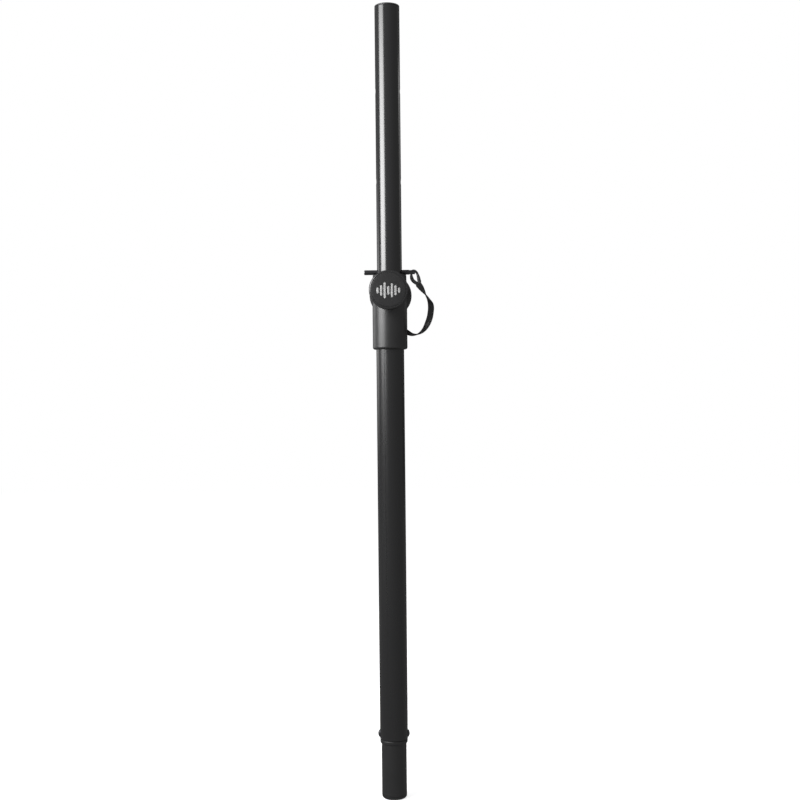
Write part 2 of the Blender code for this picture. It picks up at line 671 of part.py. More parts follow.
def make_adapter(plastic):
    """The reducer: a hollow spigot with a stop flange, pushed up into the foot of the lower tube."""
    fit = LOWER_BORE - GAP
    outline = [
        (SPIGOT_BORE, END_CAP_HEIGHT + GAP),
        (SPIGOT_RADIUS, END_CAP_HEIGHT + GAP),
        (SPIGOT_RADIUS, FLANGE_BOTTOM),
        (FLANGE_RADIUS - SMALL_CHAMFER, FLANGE_BOTTOM),
        (FLANGE_RADIUS, FLANGE_BOTTOM + SMALL_CHAMFER),
        (FLANGE_RADIUS, LOWER_BOTTOM - GAP - SMALL_CHAMFER),
        (FLANGE_RADIUS - SMALL_CHAMFER, LOWER_BOTTOM - GAP),
        (fit, LOWER_BOTTOM - GAP),
        (fit, SLEEVE_TOP - SMALL_CHAMFER),
        (fit - SMALL_CHAMFER, SLEEVE_TOP),
        (SPIGOT_BORE, SLEEVE_TOP),
    ]
    sleeve = turned("adapter_sleeve", outline, plastic)
    hole = BUTTON_RADIUS + GAP
    carve(sleeve, rod(hole, (-CUT_END, 0, BUTTON_HEIGHT), (CUT_END, 0, BUTTON_HEIGHT), sides=24))
    plug = SPIGOT_BORE - GAP
    cap_outline = [
        (0.0, 0.0),
        *arc((SPIGOT_RADIUS - END_ROUND, END_ROUND), END_ROUND, -90, 0, 3),
        (SPIGOT_RADIUS, END_CAP_HEIGHT),
        (plug, END_CAP_HEIGHT),
        (plug, END_PLUG_TOP),
        (plug - CAP_WALL, END_PLUG_TOP),
        (plug - CAP_WALL, END_CAP_HEIGHT),
        (0.0, END_CAP_HEIGHT),
    ]
    turned("adapter_end_cap", cap_outline, plastic)


def make_snap_buttons(steel):
    """The two domed buttons and the V spring behind them."""
    dome = BUTTON_TIP - BUTTON_SHOULDER
    outline = [
        (0.0, BUTTON_INNER),
        (BUTTON_FLANGE_RADIUS, BUTTON_INNER),
        (BUTTON_FLANGE_RADIUS, BUTTON_FLANGE_OUTER),
        (BUTTON_RADIUS, BUTTON_FLANGE_OUTER),
        (BUTTON_RADIUS, BUTTON_SHOULDER),
        (BUTTON_RADIUS * 0.92, BUTTON_SHOULDER + dome * 0.40),
        (BUTTON_RADIUS * 0.72, BUTTON_SHOULDER + dome * 0.72),
        (BUTTON_RADIUS * 0.42, BUTTON_SHOULDER + dome * 0.93),
        (0.0, BUTTON_TIP),
    ]
    for side, name in ((-1, "left_button"), (1, "right_button")):
        at = (0, 0, BUTTON_HEIGHT)
        button = turned(name, outline, steel, facing((side, 0, 0), at), sides=24)
        hang([button], joint_empty(f"{name}_axis", at))
    outer = BUTTON_INNER - GAP
    inner = outer - SPRING_THICKNESS
    low, knee = BUTTON_HEIGHT - SPRING_HALF_GRIP, BUTTON_HEIGHT + SPRING_HALF_GRIP
    bend = [math.pi * step / SPRING_BEND_STEPS for step in range(SPRING_BEND_STEPS + 1)]
    large, small = SPRING_BEND_RADIUS, SPRING_BEND_RADIUS - SPRING_THICKNESS
    outside = [(outer, low), (outer, knee)]
    outside += [(large * math.cos(turn), SPRING_BEND_HEIGHT + large * math.sin(turn)) for turn in bend]
    outside += [(-outer, knee), (-outer, low)]
    inside = [(-inner, low), (-inner, knee)]
    inside += [(-small * math.cos(turn), SPRING_BEND_HEIGHT + small * math.sin(turn)) for turn in bend]
    inside += [(inner, knee), (inner, low)]
    half = SPRING_WIDTH / 2
    stand = Matrix.Translation((0, half, 0)) @ Matrix.Rotation(math.pi / 2, 4, "X")
    prism("button_spring", outside + inside, SPRING_WIDTH, steel, stand)


def build():
    """Make every piece."""
    clear_scene()
    powder_coat = material("powder_coat", (0.020, 0.020, 0.021), 0.32)
    gloss_coat = material("gloss_coat", (0.016, 0.016, 0.017), 0.20)
    plastic = material("moulded_plastic", (0.030, 0.030, 0.031), 0.45)
    nylon = material("nylon", (0.045, 0.045, 0.047), 0.55)
    zinc = material("zinc_steel", (0.45, 0.45, 0.46), 0.35, 1.0)
    black_steel = material("black_steel", (0.05, 0.05, 0.052), 0.35, 0.8)
    rubber = material("strap_rubber", (0.022, 0.022, 0.022), 0.6)
    make_lower_tube(powder_coat)
    make_upper_tube(gloss_coat, plastic)
    make_collar(plastic)
    make_collar_bush(nylon)
    make_collar_screws(zinc)
    make_clamp(plastic, zinc, nylon)
    make_rear_disc(plastic, zinc)
    make_safety_pin(black_steel, rubber)
    make_strap_foot(rubber, zinc)
    make_adapter(plastic)
    make_snap_buttons(black_steel)


build()
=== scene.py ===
"""Telescoping speaker pole: fine meshes, finishes, floor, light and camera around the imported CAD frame.

Everything is in metres in the CAD frame: the pole stands on the origin, +Z runs up it, the clamp knob
faces -Y and the safety pin lies along X with its strap on the +X side.
"""
import math

import bmesh
import bpy
from mathutils import Matrix, Vector


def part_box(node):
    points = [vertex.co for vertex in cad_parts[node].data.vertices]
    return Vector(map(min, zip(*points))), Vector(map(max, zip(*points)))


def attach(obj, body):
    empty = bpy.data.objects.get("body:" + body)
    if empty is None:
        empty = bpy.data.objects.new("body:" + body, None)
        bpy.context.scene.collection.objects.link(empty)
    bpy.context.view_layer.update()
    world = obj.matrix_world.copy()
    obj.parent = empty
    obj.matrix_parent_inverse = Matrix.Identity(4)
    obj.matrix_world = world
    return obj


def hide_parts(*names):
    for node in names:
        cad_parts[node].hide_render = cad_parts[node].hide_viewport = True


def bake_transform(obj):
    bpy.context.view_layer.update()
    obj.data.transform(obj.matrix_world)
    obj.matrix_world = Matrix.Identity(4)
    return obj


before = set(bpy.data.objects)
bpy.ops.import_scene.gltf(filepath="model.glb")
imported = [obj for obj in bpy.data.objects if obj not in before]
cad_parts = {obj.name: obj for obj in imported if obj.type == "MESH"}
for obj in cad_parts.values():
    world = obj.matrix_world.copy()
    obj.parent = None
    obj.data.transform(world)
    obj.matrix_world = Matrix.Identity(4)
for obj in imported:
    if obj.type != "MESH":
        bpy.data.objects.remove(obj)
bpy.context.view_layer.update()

# Clearances, where cutters start and end (from the axis), and the sides of the large round pieces.
GAP = 0.0003
SLIDE_GAP = 0.0002
CUT_START = 0.010
CUT_END = 0.030
ROUND = 192
TAU = 2 * math.pi
UP = Vector((0, 0, 1))

# Tubes.
UPPER_RADIUS = 0.0175
UPPER_BORE = 0.0160
HOLE_RADIUS = 0.0038
HOLE_PITCH = 0.127
PIN_HEIGHT = 0.7361
LOWER_RADIUS = 0.0195
LOWER_BORE = 0.0179

# Collar and clamp.
COLLAR_TOP = 0.7325
COLLAR_RADIUS = 0.0243
COLLAR_MOUTH_RADIUS = 0.0236
COLLAR_LIP_ROUND = 0.0030
BUSH_RADIUS = 0.0208
CLAMP_HEIGHT = 0.7075
TAPER_START = CLAMP_HEIGHT - 0.010
BOSS_RADIUS = 0.0150
BOSS_REACH = 0.0365
BOSS_FILLET = 0.0030
BOSS_SINK = 0.00004
BOSS_RIM_ROUND = 0.0010
BOSS_HOLE_DEPTH = 0.0075
HOLE_CHAMFER = 0.0003
STUD_RADIUS = 0.0039
CHAMBER_RADIUS = 0.0078
KNOB_RADIUS = 0.0270
KNOB_BACK = 0.0372
KNOB_FRONT = 0.0535
BADGE_RADIUS = 0.0239
REAR_DISC_RADIUS = 0.0302
KNOB_NECK_RADIUS = 0.0100
KNOB_FLARE_RADIUS = 0.0115
KNOB_WEB = 0.0040
KNOB_SHOULDER = 0.0022
KNOB_SHOULDER_HEIGHT = 0.0050
KNOB_RIM_ROUND = 0.0026
GRIP_START = 0.0064
GRIP_END = 0.0032
GRIP_FLUTES = 48
GRIP_DEPTH = 0.00045
FLARE_DEPTH = 0.0022
BADGE_SEAT_DEPTH = 0.0022
BADGE_EDGE_DROP = 0.0002
BADGE_DOME = 0.0008
REAR_NECK_RADIUS = 0.0140
REAR_FLARE_RADIUS = 0.0150
REAR_RECESS_RADIUS = 0.0090
REAR_RECESS_DEPTH = 0.0040
REAR_HOLE = 0.0026
REAR_SHOULDER = 0.0020
REAR_SHOULDER_HEIGHT = 0.0056
GROOVE_OUTER = 0.0200
GROOVE_INNER = 0.0112
GROOVE_DEPTH = 0.0006
GROOVE_SLOPE = 0.0008

# Screw holes, and the screws: head radius, head height and shank radius.
SCREW_COUNTERBORE = 0.0042
COUNTERBORE_DEPTH = 0.0016
SCREW_HOLE = 0.0023
SCREW_HOLE_END = 0.0235
SCREW_END_CLEARANCE = 0.0005
COLLAR_SCREW = (0.0038, 0.0021, 0.0016)
STRAP_SCREW = (0.0036, 0.0022, 0.0016)
DISC_SCREW = (0.0042, 0.0026, 0.0020)
DISC_SCREW_END = LOWER_RADIUS + 0.0035

# Cross pin.
PIN_RADIUS = 0.0034
PIN_CHAMFER = 0.0006
PIN_CHAMFER_LENGTH = 0.0009
FORK_DEPTH = 0.0080
FORK_GAP = 0.0038
RIVET_X = 0.0336
RIVET_HEIGHT = PIN_HEIGHT - 0.0009
RIVET_RADIUS = 0.0007

# Top cap: its floor below the lip, the shallow dish, and the moulding mark in the middle.
CAP_WALL = 0.0020
CAP_FLOOR = 0.0023
DISH_RADIUS = 0.0125
DISH_DEPTH = 0.0004
DISH_SLOPE = 0.0007
MARK_RADIUS = 0.0026
MARK_DEPTH = 0.0008
PIP_RADIUS = 0.0010
PIP_DEPTH = 0.0003

# Foot.
SPIGOT_RADIUS = 0.0175
SPIGOT_BORE = 0.0143
FLANGE_RADIUS = 0.0193
FLANGE_BOTTOM = 0.0775
END_CAP_HEIGHT = 0.0048
END_ROUND = 0.0040
END_RECESS_RADIUS = 0.0030
END_RECESS_DEPTH = 0.0006
END_RECESS_SLOPE = 0.0004
BUTTON_HEIGHT = 0.0898
BUTTON_RADIUS = 0.0052
BUTTON_FLANGE_RADIUS = 0.0063
BUTTON_INNER = 0.0112
BUTTON_FLANGE = 0.0124
BUTTON_SHOULDER = 0.0195
BUTTON_TIP = 0.0221

# Strap: route points, and the way its width points at each of them.
STRAP_WIDTH = 0.0088
STRAP_THICKNESS = 0.0018
STRAP_ROUTE = [
    ((0.0409, 0.0000, 0.7184), (0.80, 0.08, 0.60)),
    ((0.0432, 0.0000, 0.7154), (0.76, 0.30, 0.57)),
    ((0.0470, 0.0005, 0.7099), (0.48, 0.80, 0.34)),
    ((0.0510, 0.0015, 0.7037), (0.00, 1.00, 0.00)),
    ((0.0548, 0.0030, 0.6972), (-0.58, 0.76, 0.30)),
    ((0.0572, 0.0045, 0.6917), (-0.90, 0.40, 0.15)),
    ((0.0578, 0.0060, 0.6861), (-0.99, 0.10, 0.00)),
    ((0.0573, 0.0073, 0.6805), (-0.99, 0.10, -0.05)),
    ((0.0561, 0.0085, 0.6735), (-0.97, 0.15, 0.18)),
    ((0.0540, 0.0097, 0.6673), (-0.92, 0.25, 0.30)),
    ((0.0515, 0.0107, 0.6620), (-0.78, 0.52, 0.35)),
    ((0.0480, 0.0117, 0.6565), (-0.52, 0.78, 0.35)),
    ((0.0437, 0.0125, 0.6525), (-0.30, 0.92, 0.25)),
    ((0.0395, 0.0130, 0.6502), (-0.12, 0.99, 0.10)),
    ((0.0350, 0.0136, 0.6492), (0.00, 0.99, -0.10)),
    ((0.0305, 0.0142, 0.6497), (0.05, 0.90, -0.40)),
    ((0.0262, 0.0153, 0.6515), (0.08, 0.66, -0.75)),
    ((0.0222, 0.0168, 0.6536), (0.10, 0.35, -0.93)),
    ((0.0182, 0.0189, 0.6553), (0.06, 0.08, -0.99)),
    ((0.0140, 0.0216, 0.6563), (0.00, 0.00, -1.00)),
    ((0.0098, 0.0243, 0.6568), (0.00, 0.00, -1.00)),
]
STRAP_SPLIT = 8
STRAP_STEPS = 10
EYE_ROUTE = [
    (0.0354, 0.7378),
    (0.0325, 0.7379),
    (0.0308, 0.7363),
    (0.0305, 0.7333),
    (0.0309, 0.7290),
    (0.0322, 0.7252),
    (0.0352, 0.7222),
    (0.0396, 0.7200),
    (0.0419, 0.7222),
    (0.0411, 0.7260),
    (0.0403, 0.7300),
    (0.0383, 0.7352),
]
EYE_STEPS = 6
EYE_RADIUS = 0.0018

# Below this height the eye's strands grow wider in the loop's plane, by this share, over this distance.
EYE_FAT_TOP = 0.7325
EYE_FAT = 0.40
EYE_FAT_RUN = 0.005

# The voxel that joins the eye to the band.
SKIN_VOXEL = 0.00028

# The strap's screw on the collar, and where the cutter of its hole starts and ends.
STRAP_SCREW_TURN = math.radians(57.0)
STRAP_SCREW_HEIGHT = 0.6563
STRAP_CUT_START = 0.015
STRAP_CUT_END = 0.040
WASHER_RADIUS = 0.0042
WASHER_HOLE = 0.0021
WASHER_THICKNESS = 0.0007
WASHER_STANDOFF = 0.0029
COLLAR_SCREW_HEIGHTS = {"low": 0.6430, "high": 0.6720}

# Camera: level with the middle of the pole, in front and a little to the right, rolled by half a degree.
CAMERA_TURN = math.radians(1.2)
CAMERA_ROLL = math.radians(0.569)
CAMERA_DISTANCE = 1.74
CAMERA_SIDE = 0.0130
CAMERA_HEIGHT = 0.557
CAMERA_LENS = 55.8


def make_camera():
    """The camera in front of the pole."""
    forward = Vector((-math.sin(CAMERA_TURN), math.cos(CAMERA_TURN), 0))
    side = Vector((math.cos(CAMERA_TURN), math.sin(CAMERA_TURN), 0))
    up = UP * math.cos(CAMERA_ROLL) + side * math.sin(CAMERA_ROLL)
    right = side * math.cos(CAMERA_ROLL) - UP * math.sin(CAMERA_ROLL)
    place = Matrix((right, up, -forward)).transposed().to_4x4()
    place.translation = side * CAMERA_SIDE - forward * CAMERA_DISTANCE + UP * CAMERA_HEIGHT
    data = bpy.data.cameras.new("camera")
    data.lens = CAMERA_LENS
    camera = bpy.data.objects.new("camera", data)
    camera.matrix_world = place
    bpy.context.scene.collection.objects.link(camera)
    bpy.context.scene.camera = camera


# ------------------------------------------------------------------------------------ mesh helpers


def add_object(name, bm, sharp=35):
    """Turn a bmesh into an object with smooth faces and sharp corners."""
    bmesh.ops.recalc_face_normals(bm, faces=bm.faces)
    mesh = bpy.data.meshes.new(name)
    bm.to_mesh(mesh)
    bm.free()
    mesh.shade_smooth()
    mesh.set_sharp_from_angle(angle=math.radians(sharp))
    made = bpy.data.objects.new(name, mesh)
    bpy.context.scene.collection.objects.link(made)
    return made


def even_normals(thing):
    """Let the large faces decide the shading of the rounded edges between them."""
    even = thing.modifiers.new("even_normals", "WEIGHTED_NORMAL")
    even.keep_sharp = True
    return thing


def bake(thing):
    """Apply a mesh object's modifiers."""
    bpy.context.view_layer.update()
    evaluated = thing.evaluated_get(bpy.context.evaluated_depsgraph_get())
    mesh = bpy.data.meshes.new_from_object(evaluated)
    thing.modifiers.clear()
    thing.data = mesh
    return thing


def cut(thing, tools, operation="DIFFERENCE"):
    """Cut tool solids out of a piece, or join them to it, and remove the tools."""
    for tool in tools:
        step = thing.modifiers.new("cut", "BOOLEAN")
        step.operation = operation
        step.object = tool
        step.solver = "EXACT"
    bake(thing)
    for tool in tools:
        bpy.data.objects.remove(tool, do_unlink=True)
    thing.data.shade_smooth()
    thing.data.set_sharp_from_angle(angle=math.radians(35))
    return thing


def soften_rims(thing, width):
    """Round the rims of holes in a wall a little."""
    rim = thing.modifiers.new("rim", "BEVEL")
    rim.width = width
    rim.segments = 2
    rim.limit_method = "ANGLE"
    rim.angle_limit = math.radians(50)
    rim.use_clamp_overlap = False
    bake(thing)
    return thing


def facing(direction, at=(0, 0, 0)):
    """Placement that turns local +Z to a direction."""
    turn = UP.rotation_difference(Vector(direction)).to_matrix().to_4x4()
    return Matrix.Translation(at) @ turn


def rounded(corners, steps=5):
    """An outline from corners (x, y) and (x, y, radius); a corner with a radius becomes an arc."""
    found = []
    for index, corner in enumerate(corners):
        point = Vector(corner[:2])
        if len(corner) == 2:
            found.append(point)
            continue
        before = (Vector(corners[index - 1][:2]) - point).normalized()
        after = (Vector(corners[(index + 1) % len(corners)][:2]) - point).normalized()
        half = before.angle(after) / 2
        centre = point + (before + after).normalized() * corner[2] / math.sin(half)
        first = point + before * corner[2] / math.tan(half) - centre
        last = point + after * corner[2] / math.tan(half) - centre
        start = math.atan2(first.y, first.x)
        sweep = (math.atan2(last.y, last.x) - start + math.pi) % TAU - math.pi
        for step in range(steps + 1):
            turn = start + sweep * step / steps
            found.append(centre + Vector((math.cos(turn), math.sin(turn))) * corner[2])
    return found


def turned(name, outline, place=None, sides=ROUND, relief=None):
    """A turned solid: the outline (radius, height) goes once round local Z.

    relief(turn, radius, height) gives the radius of a side that isn't plain.
    """
    place = place or Matrix()
    bm = bmesh.new()
    rings = []
    for radius, height in outline:
        if radius < 1e-7:
            rings.append([bm.verts.new(place @ Vector((0, 0, height)))])
            continue
        ring = []
        for side in range(sides):
            turn = TAU * side / sides
            reach = relief(turn, radius, height) if relief else radius
            point = Vector((reach * math.cos(turn), reach * math.sin(turn), height))
            ring.append(bm.verts.new(place @ point))
        rings.append(ring)
    pairs = list(zip(rings, rings[1:]))
    if len(rings[0]) > 1 or len(rings[-1]) > 1:
        pairs.append((rings[-1], rings[0]))
    for here, there in pairs:
        for side in range(sides):
            after = (side + 1) % sides
            corners = [here[side % len(here)], here[after % len(here)], there[after % len(there)]]
            corners.append(there[side % len(there)])
            bm.faces.new(list(dict.fromkeys(corners)))
    return add_object(name, bm)


def rod(radius, start, end, sides=48):
    """A plain rod from one point to another, as a cutting tool."""
    start, end = Vector(start), Vector(end)
    length = (end - start).length
    roll = Matrix.Rotation(math.pi / sides, 4, "Z")
    outline = [(0, 0), (radius, 0), (radius, length), (0, length)]
    return turned("tool", outline, facing(end - start, start) @ roll, sides)


def slab(low, high, place=None):
    """A plain box between two corners, as a cutting tool."""
    low, high = Vector(low), Vector(high)
    bm = bmesh.new()
    bmesh.ops.create_cube(bm, size=1.0)
    bmesh.ops.scale(bm, vec=high - low, verts=bm.verts)
    bmesh.ops.translate(bm, vec=(low + high) / 2, verts=bm.verts)
    if place is not None:
        bmesh.ops.transform(bm, matrix=place, verts=bm.verts)
    return add_object("tool", bm)


def joined(name, things):
    """Several objects as one, in the first one's place."""
    bm = bmesh.new()
    for thing in things:
        bm.from_mesh(thing.data)
        bpy.data.objects.remove(thing, do_unlink=True)
    return add_object(name, bm)


def smooth_curve(points, steps):
    """Points of a smooth curve through the given points (Catmull-Rom)."""
    points = [Vector(point) for point in points]
    ends = [2 * points[0] - points[1], *points, 2 * points[-1] - points[-2]]
    found = []
    for a, b, c, d in zip(ends, ends[1:], ends[2:], ends[3:]):
        for step in range(steps):
            t = step / steps
            bend, twist = 2 * a - 5 * b + 4 * c - d, 3 * b - a - 3 * c + d
            found.append(0.5 * (2 * b + (c - a) * t + bend * t**2 + twist * t**3))
    return found + [points[-1]]


def swept(name, centres, sections, closed=False):
    """A solid through a row of sections, each a ring of offsets about its centre."""
    bm = bmesh.new()
    rings = [[bm.verts.new(centre + offset) for offset in ring] for centre, ring in zip(centres, sections)]
    corners = len(rings[0])
    following = rings[1:] + rings[:1] if closed else rings[1:]
    for here, there in zip(rings, following):
        for corner in range(corners):
            after = (corner + 1) % corners
            bm.faces.new([here[corner], here[after], there[after], there[corner]])
    if not closed:
        bm.faces.new(rings[0][::-1])
        bm.faces.new(rings[-1])
    return add_object(name, bm)


# ------------------------------------------------------------------------------------ finishes


def new_node(tree, kind, **values):
    """A shader node with its settings and input values."""
    made = tree.nodes.new(kind)
    for key, value in values.items():
        if key in made.inputs:
            made.inputs[key].default_value = value
        else:
            setattr(made, key, value)
    return made


def noise_at(tree, scale, stretch=(1, 1, 1), detail=3.0, rough=0.55):
    """A noise pattern in metres, longer along an axis whose stretch is small."""
    where = tree.nodes.new("ShaderNodeTexCoord")
    mapping = new_node(tree, "ShaderNodeMapping", Scale=stretch)
    tree.links.new(where.outputs["Object"], mapping.inputs["Vector"])
    made = new_node(tree, "ShaderNodeTexNoise", Scale=scale, Detail=detail, Roughness=rough)
    tree.links.new(mapping.outputs["Vector"], made.inputs["Vector"])
    return made.outputs["Fac"]


def spread(tree, source, low, high, to_low, to_high):
    """Map a pattern's values from one range to another, without leaving it."""
    made = new_node(tree, "ShaderNodeMapRange")
    for name, value in (("From Min", low), ("From Max", high), ("To Min", to_low), ("To Max", to_high)):
        made.inputs[name].default_value = value
    tree.links.new(source, made.inputs["Value"])
    return made.outputs["Result"]


def mixed(tree, factor, first, second):
    """A colour between two colours, or between a node's colour and a colour."""
    made = new_node(tree, "ShaderNodeMix", data_type="RGBA")
    tree.links.new(factor, made.inputs["Factor"])
    for socket, value in ((made.inputs[6], first), (made.inputs[7], second)):
        if isinstance(value, tuple):
            socket.default_value = (*value, 1.0)
        else:
            tree.links.new(value, socket)
    return made.outputs[2]


def relief_from(tree, shader, patterns):
    """Raise the surface by (pattern, depth in metres) pairs."""
    before = None
    for source, depth in patterns:
        made = new_node(tree, "ShaderNodeBump", Strength=1.0, Distance=depth)
        tree.links.new(source, made.inputs["Height"])
        if before is not None:
            tree.links.new(before, made.inputs["Normal"])
        before = made.outputs["Normal"]
    tree.links.new(before, shader.inputs["Normal"])


def finish(
    name, dark, light, rough, grains, cloud=60, cloud_stretch=(1, 1, 1), metallic=0.0, scuff=None, **fixed
):
    """A finish: two close colours in soft clouds, an uneven gloss, grain, and fine scuffs in a third colour.

    rough is the (lowest, highest) roughness, grains are (scale, stretch, depth) and scuff is
    (colour, scale, stretch, threshold).
    """
    made = bpy.data.materials.new(name)
    made.use_nodes = True
    tree = made.node_tree
    shader = tree.nodes["Principled BSDF"]
    shader.inputs["Metallic"].default_value = metallic
    for key, value in fixed.items():
        shader.inputs[key.replace("_", " ")].default_value = value
    clouds = noise_at(tree, cloud, cloud_stretch)
    color = mixed(tree, spread(tree, clouds, 0.35, 0.65, 0.0, 1.0), dark, light)
    gloss = spread(tree, noise_at(tree, cloud * 2.3, cloud_stretch), 0.3, 0.7, *rough)
    if scuff is not None:
        scuff_color, scale, stretch, threshold = scuff
        marks = spread(tree, noise_at(tree, scale, stretch, 5.0, 0.7), threshold, threshold + 0.10, 0.0, 1.0)
        color = mixed(tree, marks, color, scuff_color)
        lift = new_node(tree, "ShaderNodeMath", operation="MULTIPLY_ADD")
        lift.inputs[1].default_value = 0.10
        tree.links.new(marks, lift.inputs[0])
        tree.links.new(gloss, lift.inputs[2])
        gloss = lift.outputs[0]
    tree.links.new(color, shader.inputs["Base Color"])
    tree.links.new(gloss, shader.inputs["Roughness"])
    relief_from(tree, shader, [(noise_at(tree, scale, stretch), depth) for scale, stretch, depth in grains])
    return made


EVEN = (1, 1, 1)
ALONG_Z = (1, 1, 0.03)
ALONG_X = (0.04, 1, 1)

FINISHES = {
    "upper_coat": finish(
        "upper_coat", (0.0105, 0.0105, 0.0110), (0.0125, 0.0125, 0.0130), (0.15, 0.20),
        [(700, EVEN, 0.000005), (90, EVEN, 0.000004)], cloud=14, cloud_stretch=(1, 1, 0.2),
        scuff=((0.030, 0.030, 0.031), 260, ALONG_Z, 0.66),
    ),
    "lower_coat": finish(
        "lower_coat", (0.0080, 0.0080, 0.0084), (0.0100, 0.0100, 0.0104), (0.25, 0.30),
        [(1500, EVEN, 0.00003), (260, EVEN, 0.00003)], cloud=14, cloud_stretch=(1, 1, 0.2),
        scuff=((0.034, 0.034, 0.035), 240, ALONG_Z, 0.68),
    ),
    "cap_plastic": finish(
        "cap_plastic", (0.014, 0.014, 0.014), (0.019, 0.019, 0.020), (0.42, 0.50), [(3200, EVEN, 0.00002)],
    ),
    "collar_plastic": finish(
        "collar_plastic", (0.0110, 0.0110, 0.0114), (0.0140, 0.0140, 0.0144), (0.34, 0.40),
        [(2600, EVEN, 0.00003), (420, EVEN, 0.00002)], cloud=45,
        scuff=((0.040, 0.040, 0.041), 380, (1, 1, 0.25), 0.70),
    ),
    "knob_plastic": finish(
        "knob_plastic", (0.012, 0.012, 0.0124), (0.016, 0.016, 0.0164), (0.24, 0.30),
        [(3000, EVEN, 0.00002)], cloud=70, scuff=((0.045, 0.045, 0.046), 500, EVEN, 0.72),
    ),
    "badge_plastic": finish(
        "badge_plastic", (0.011, 0.011, 0.0114), (0.014, 0.014, 0.0144), (0.46, 0.54),
        [(3800, EVEN, 0.000025)], cloud=90, Specular_IOR_Level=0.30,
    ),
    "emblem_print": finish(
        "emblem_print", (0.28, 0.28, 0.28), (0.35, 0.35, 0.347), (0.35, 0.45),
        [(5200, EVEN, 0.00001)], cloud=420,
    ),
    "nylon": finish(
        "nylon", (0.040, 0.040, 0.041), (0.055, 0.055, 0.056), (0.48, 0.56), [(2400, EVEN, 0.00002)],
    ),
    "zinc_steel": finish(
        "zinc_steel", (0.44, 0.44, 0.45), (0.58, 0.58, 0.58), (0.26, 0.40),
        [(2200, EVEN, 0.00002)], cloud=300, metallic=1.0,
    ),
    "pin_steel": finish(
        "pin_steel", (0.030, 0.030, 0.032), (0.060, 0.060, 0.063), (0.28, 0.40),
        [(2600, ALONG_X, 0.00002)], cloud=320, cloud_stretch=ALONG_X, metallic=0.75,
        scuff=((0.20, 0.20, 0.205), 900, ALONG_X, 0.63),
    ),
    "strap_rubber": finish(
        "strap_rubber", (0.012, 0.012, 0.0125), (0.019, 0.019, 0.020), (0.50, 0.62),
        [(3600, EVEN, 0.00004), (900, EVEN, 0.00004)], cloud=160,
    ),
    "adapter_plastic": finish(
        "adapter_plastic", (0.0100, 0.0100, 0.0104), (0.0130, 0.0130, 0.0134), (0.38, 0.46),
        [(2600, EVEN, 0.00003), (500, EVEN, 0.00002)], cloud=40,
        scuff=((0.040, 0.040, 0.041), 300, (1, 1, 0.12), 0.66),
    ),
    "spring_steel": finish(
        "spring_steel", (0.050, 0.050, 0.054), (0.085, 0.085, 0.090), (0.26, 0.38),
        [(1800, EVEN, 0.00002)], cloud=260, metallic=0.85,
    ),
}


def place_piece(thing, body, replaced, slot, look=None):
    """Give a piece its finish, its body and the CAD nodes it stands for."""
    thing.data.materials.clear()
    thing.data.materials.append(FINISHES[look or slot])
    if body:
        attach(thing, body)
    if replaced:
        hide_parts(*replaced)
    return thing


# ------------------------------------------------------------------------------------ strap


def band_section(along, width):
    """One section of the band: a flat strip with round edges and a shallow groove along each face."""
    across = (width - along * width.dot(along)).normalized()
    up = along.cross(across).normalized()
    half, thick = STRAP_WIDTH / 2, STRAP_THICKNESS / 2
    edge = thick * 0.9
    points = []
    for side in (1, -1):
        for step in range(7):
            turn = math.radians(-90 + 180 * step / 6)
            points.append((side * (half - edge + edge * math.cos(turn)), side * thick * math.sin(turn)))
        for share in (0.80, 0.66, 0.33, 0.0, -0.33, -0.66, -0.80):
            dip = 0.88 if abs(share) < 0.7 else 1.0
            points.append((side * share * (half - edge), side * thick * dip))
    return [across * x + up * y for x, y in points]


def band_rings():
    """The strap's centres and sections along its whole route."""
    centres = smooth_curve([point for point, _ in STRAP_ROUTE], STRAP_STEPS)
    widths = smooth_curve([width for _, width in STRAP_ROUTE], STRAP_STEPS)
    sections = []
    for index, width in enumerate(widths):
        ahead = centres[min(index + 1, len(centres) - 1)] - centres[max(index - 1, 0)]
        sections.append(band_section(ahead.normalized(), width))
    return centres, sections


def eye_ring():
    """The strap's eye: a closed round loop in the XZ plane."""
    route = [(x, 0, z) for x, z in EYE_ROUTE]
    centres = smooth_curve([route[-1], *route, route[0], route[1]], EYE_STEPS)[EYE_STEPS : -EYE_STEPS - 1]
    sections = []
    for index in range(len(centres)):
        along = (centres[(index + 1) % len(centres)] - centres[index - 1]).normalized()
        side = along.cross(Vector((0, 1, 0))).normalized()
        fat = 1 + EYE_FAT * min(max((EYE_FAT_TOP - centres[index].z) / EYE_FAT_RUN, 0.0), 1.0)
        turns = [TAU * step / 16 for step in range(16)]
        ring = [side * math.cos(turn) * fat + Vector((0, 1, 0)) * math.sin(turn) for turn in turns]
        sections.append([offset * EYE_RADIUS for offset in ring])
    return swept("eye", centres, sections, closed=True)


def strap_screw_line():
    """The way the strap's screw points out of the collar, and the point on the pole's axis level with it."""
    return Vector((math.cos(STRAP_SCREW_TURN), math.sin(STRAP_SCREW_TURN), 0)), UP * STRAP_SCREW_HEIGHT


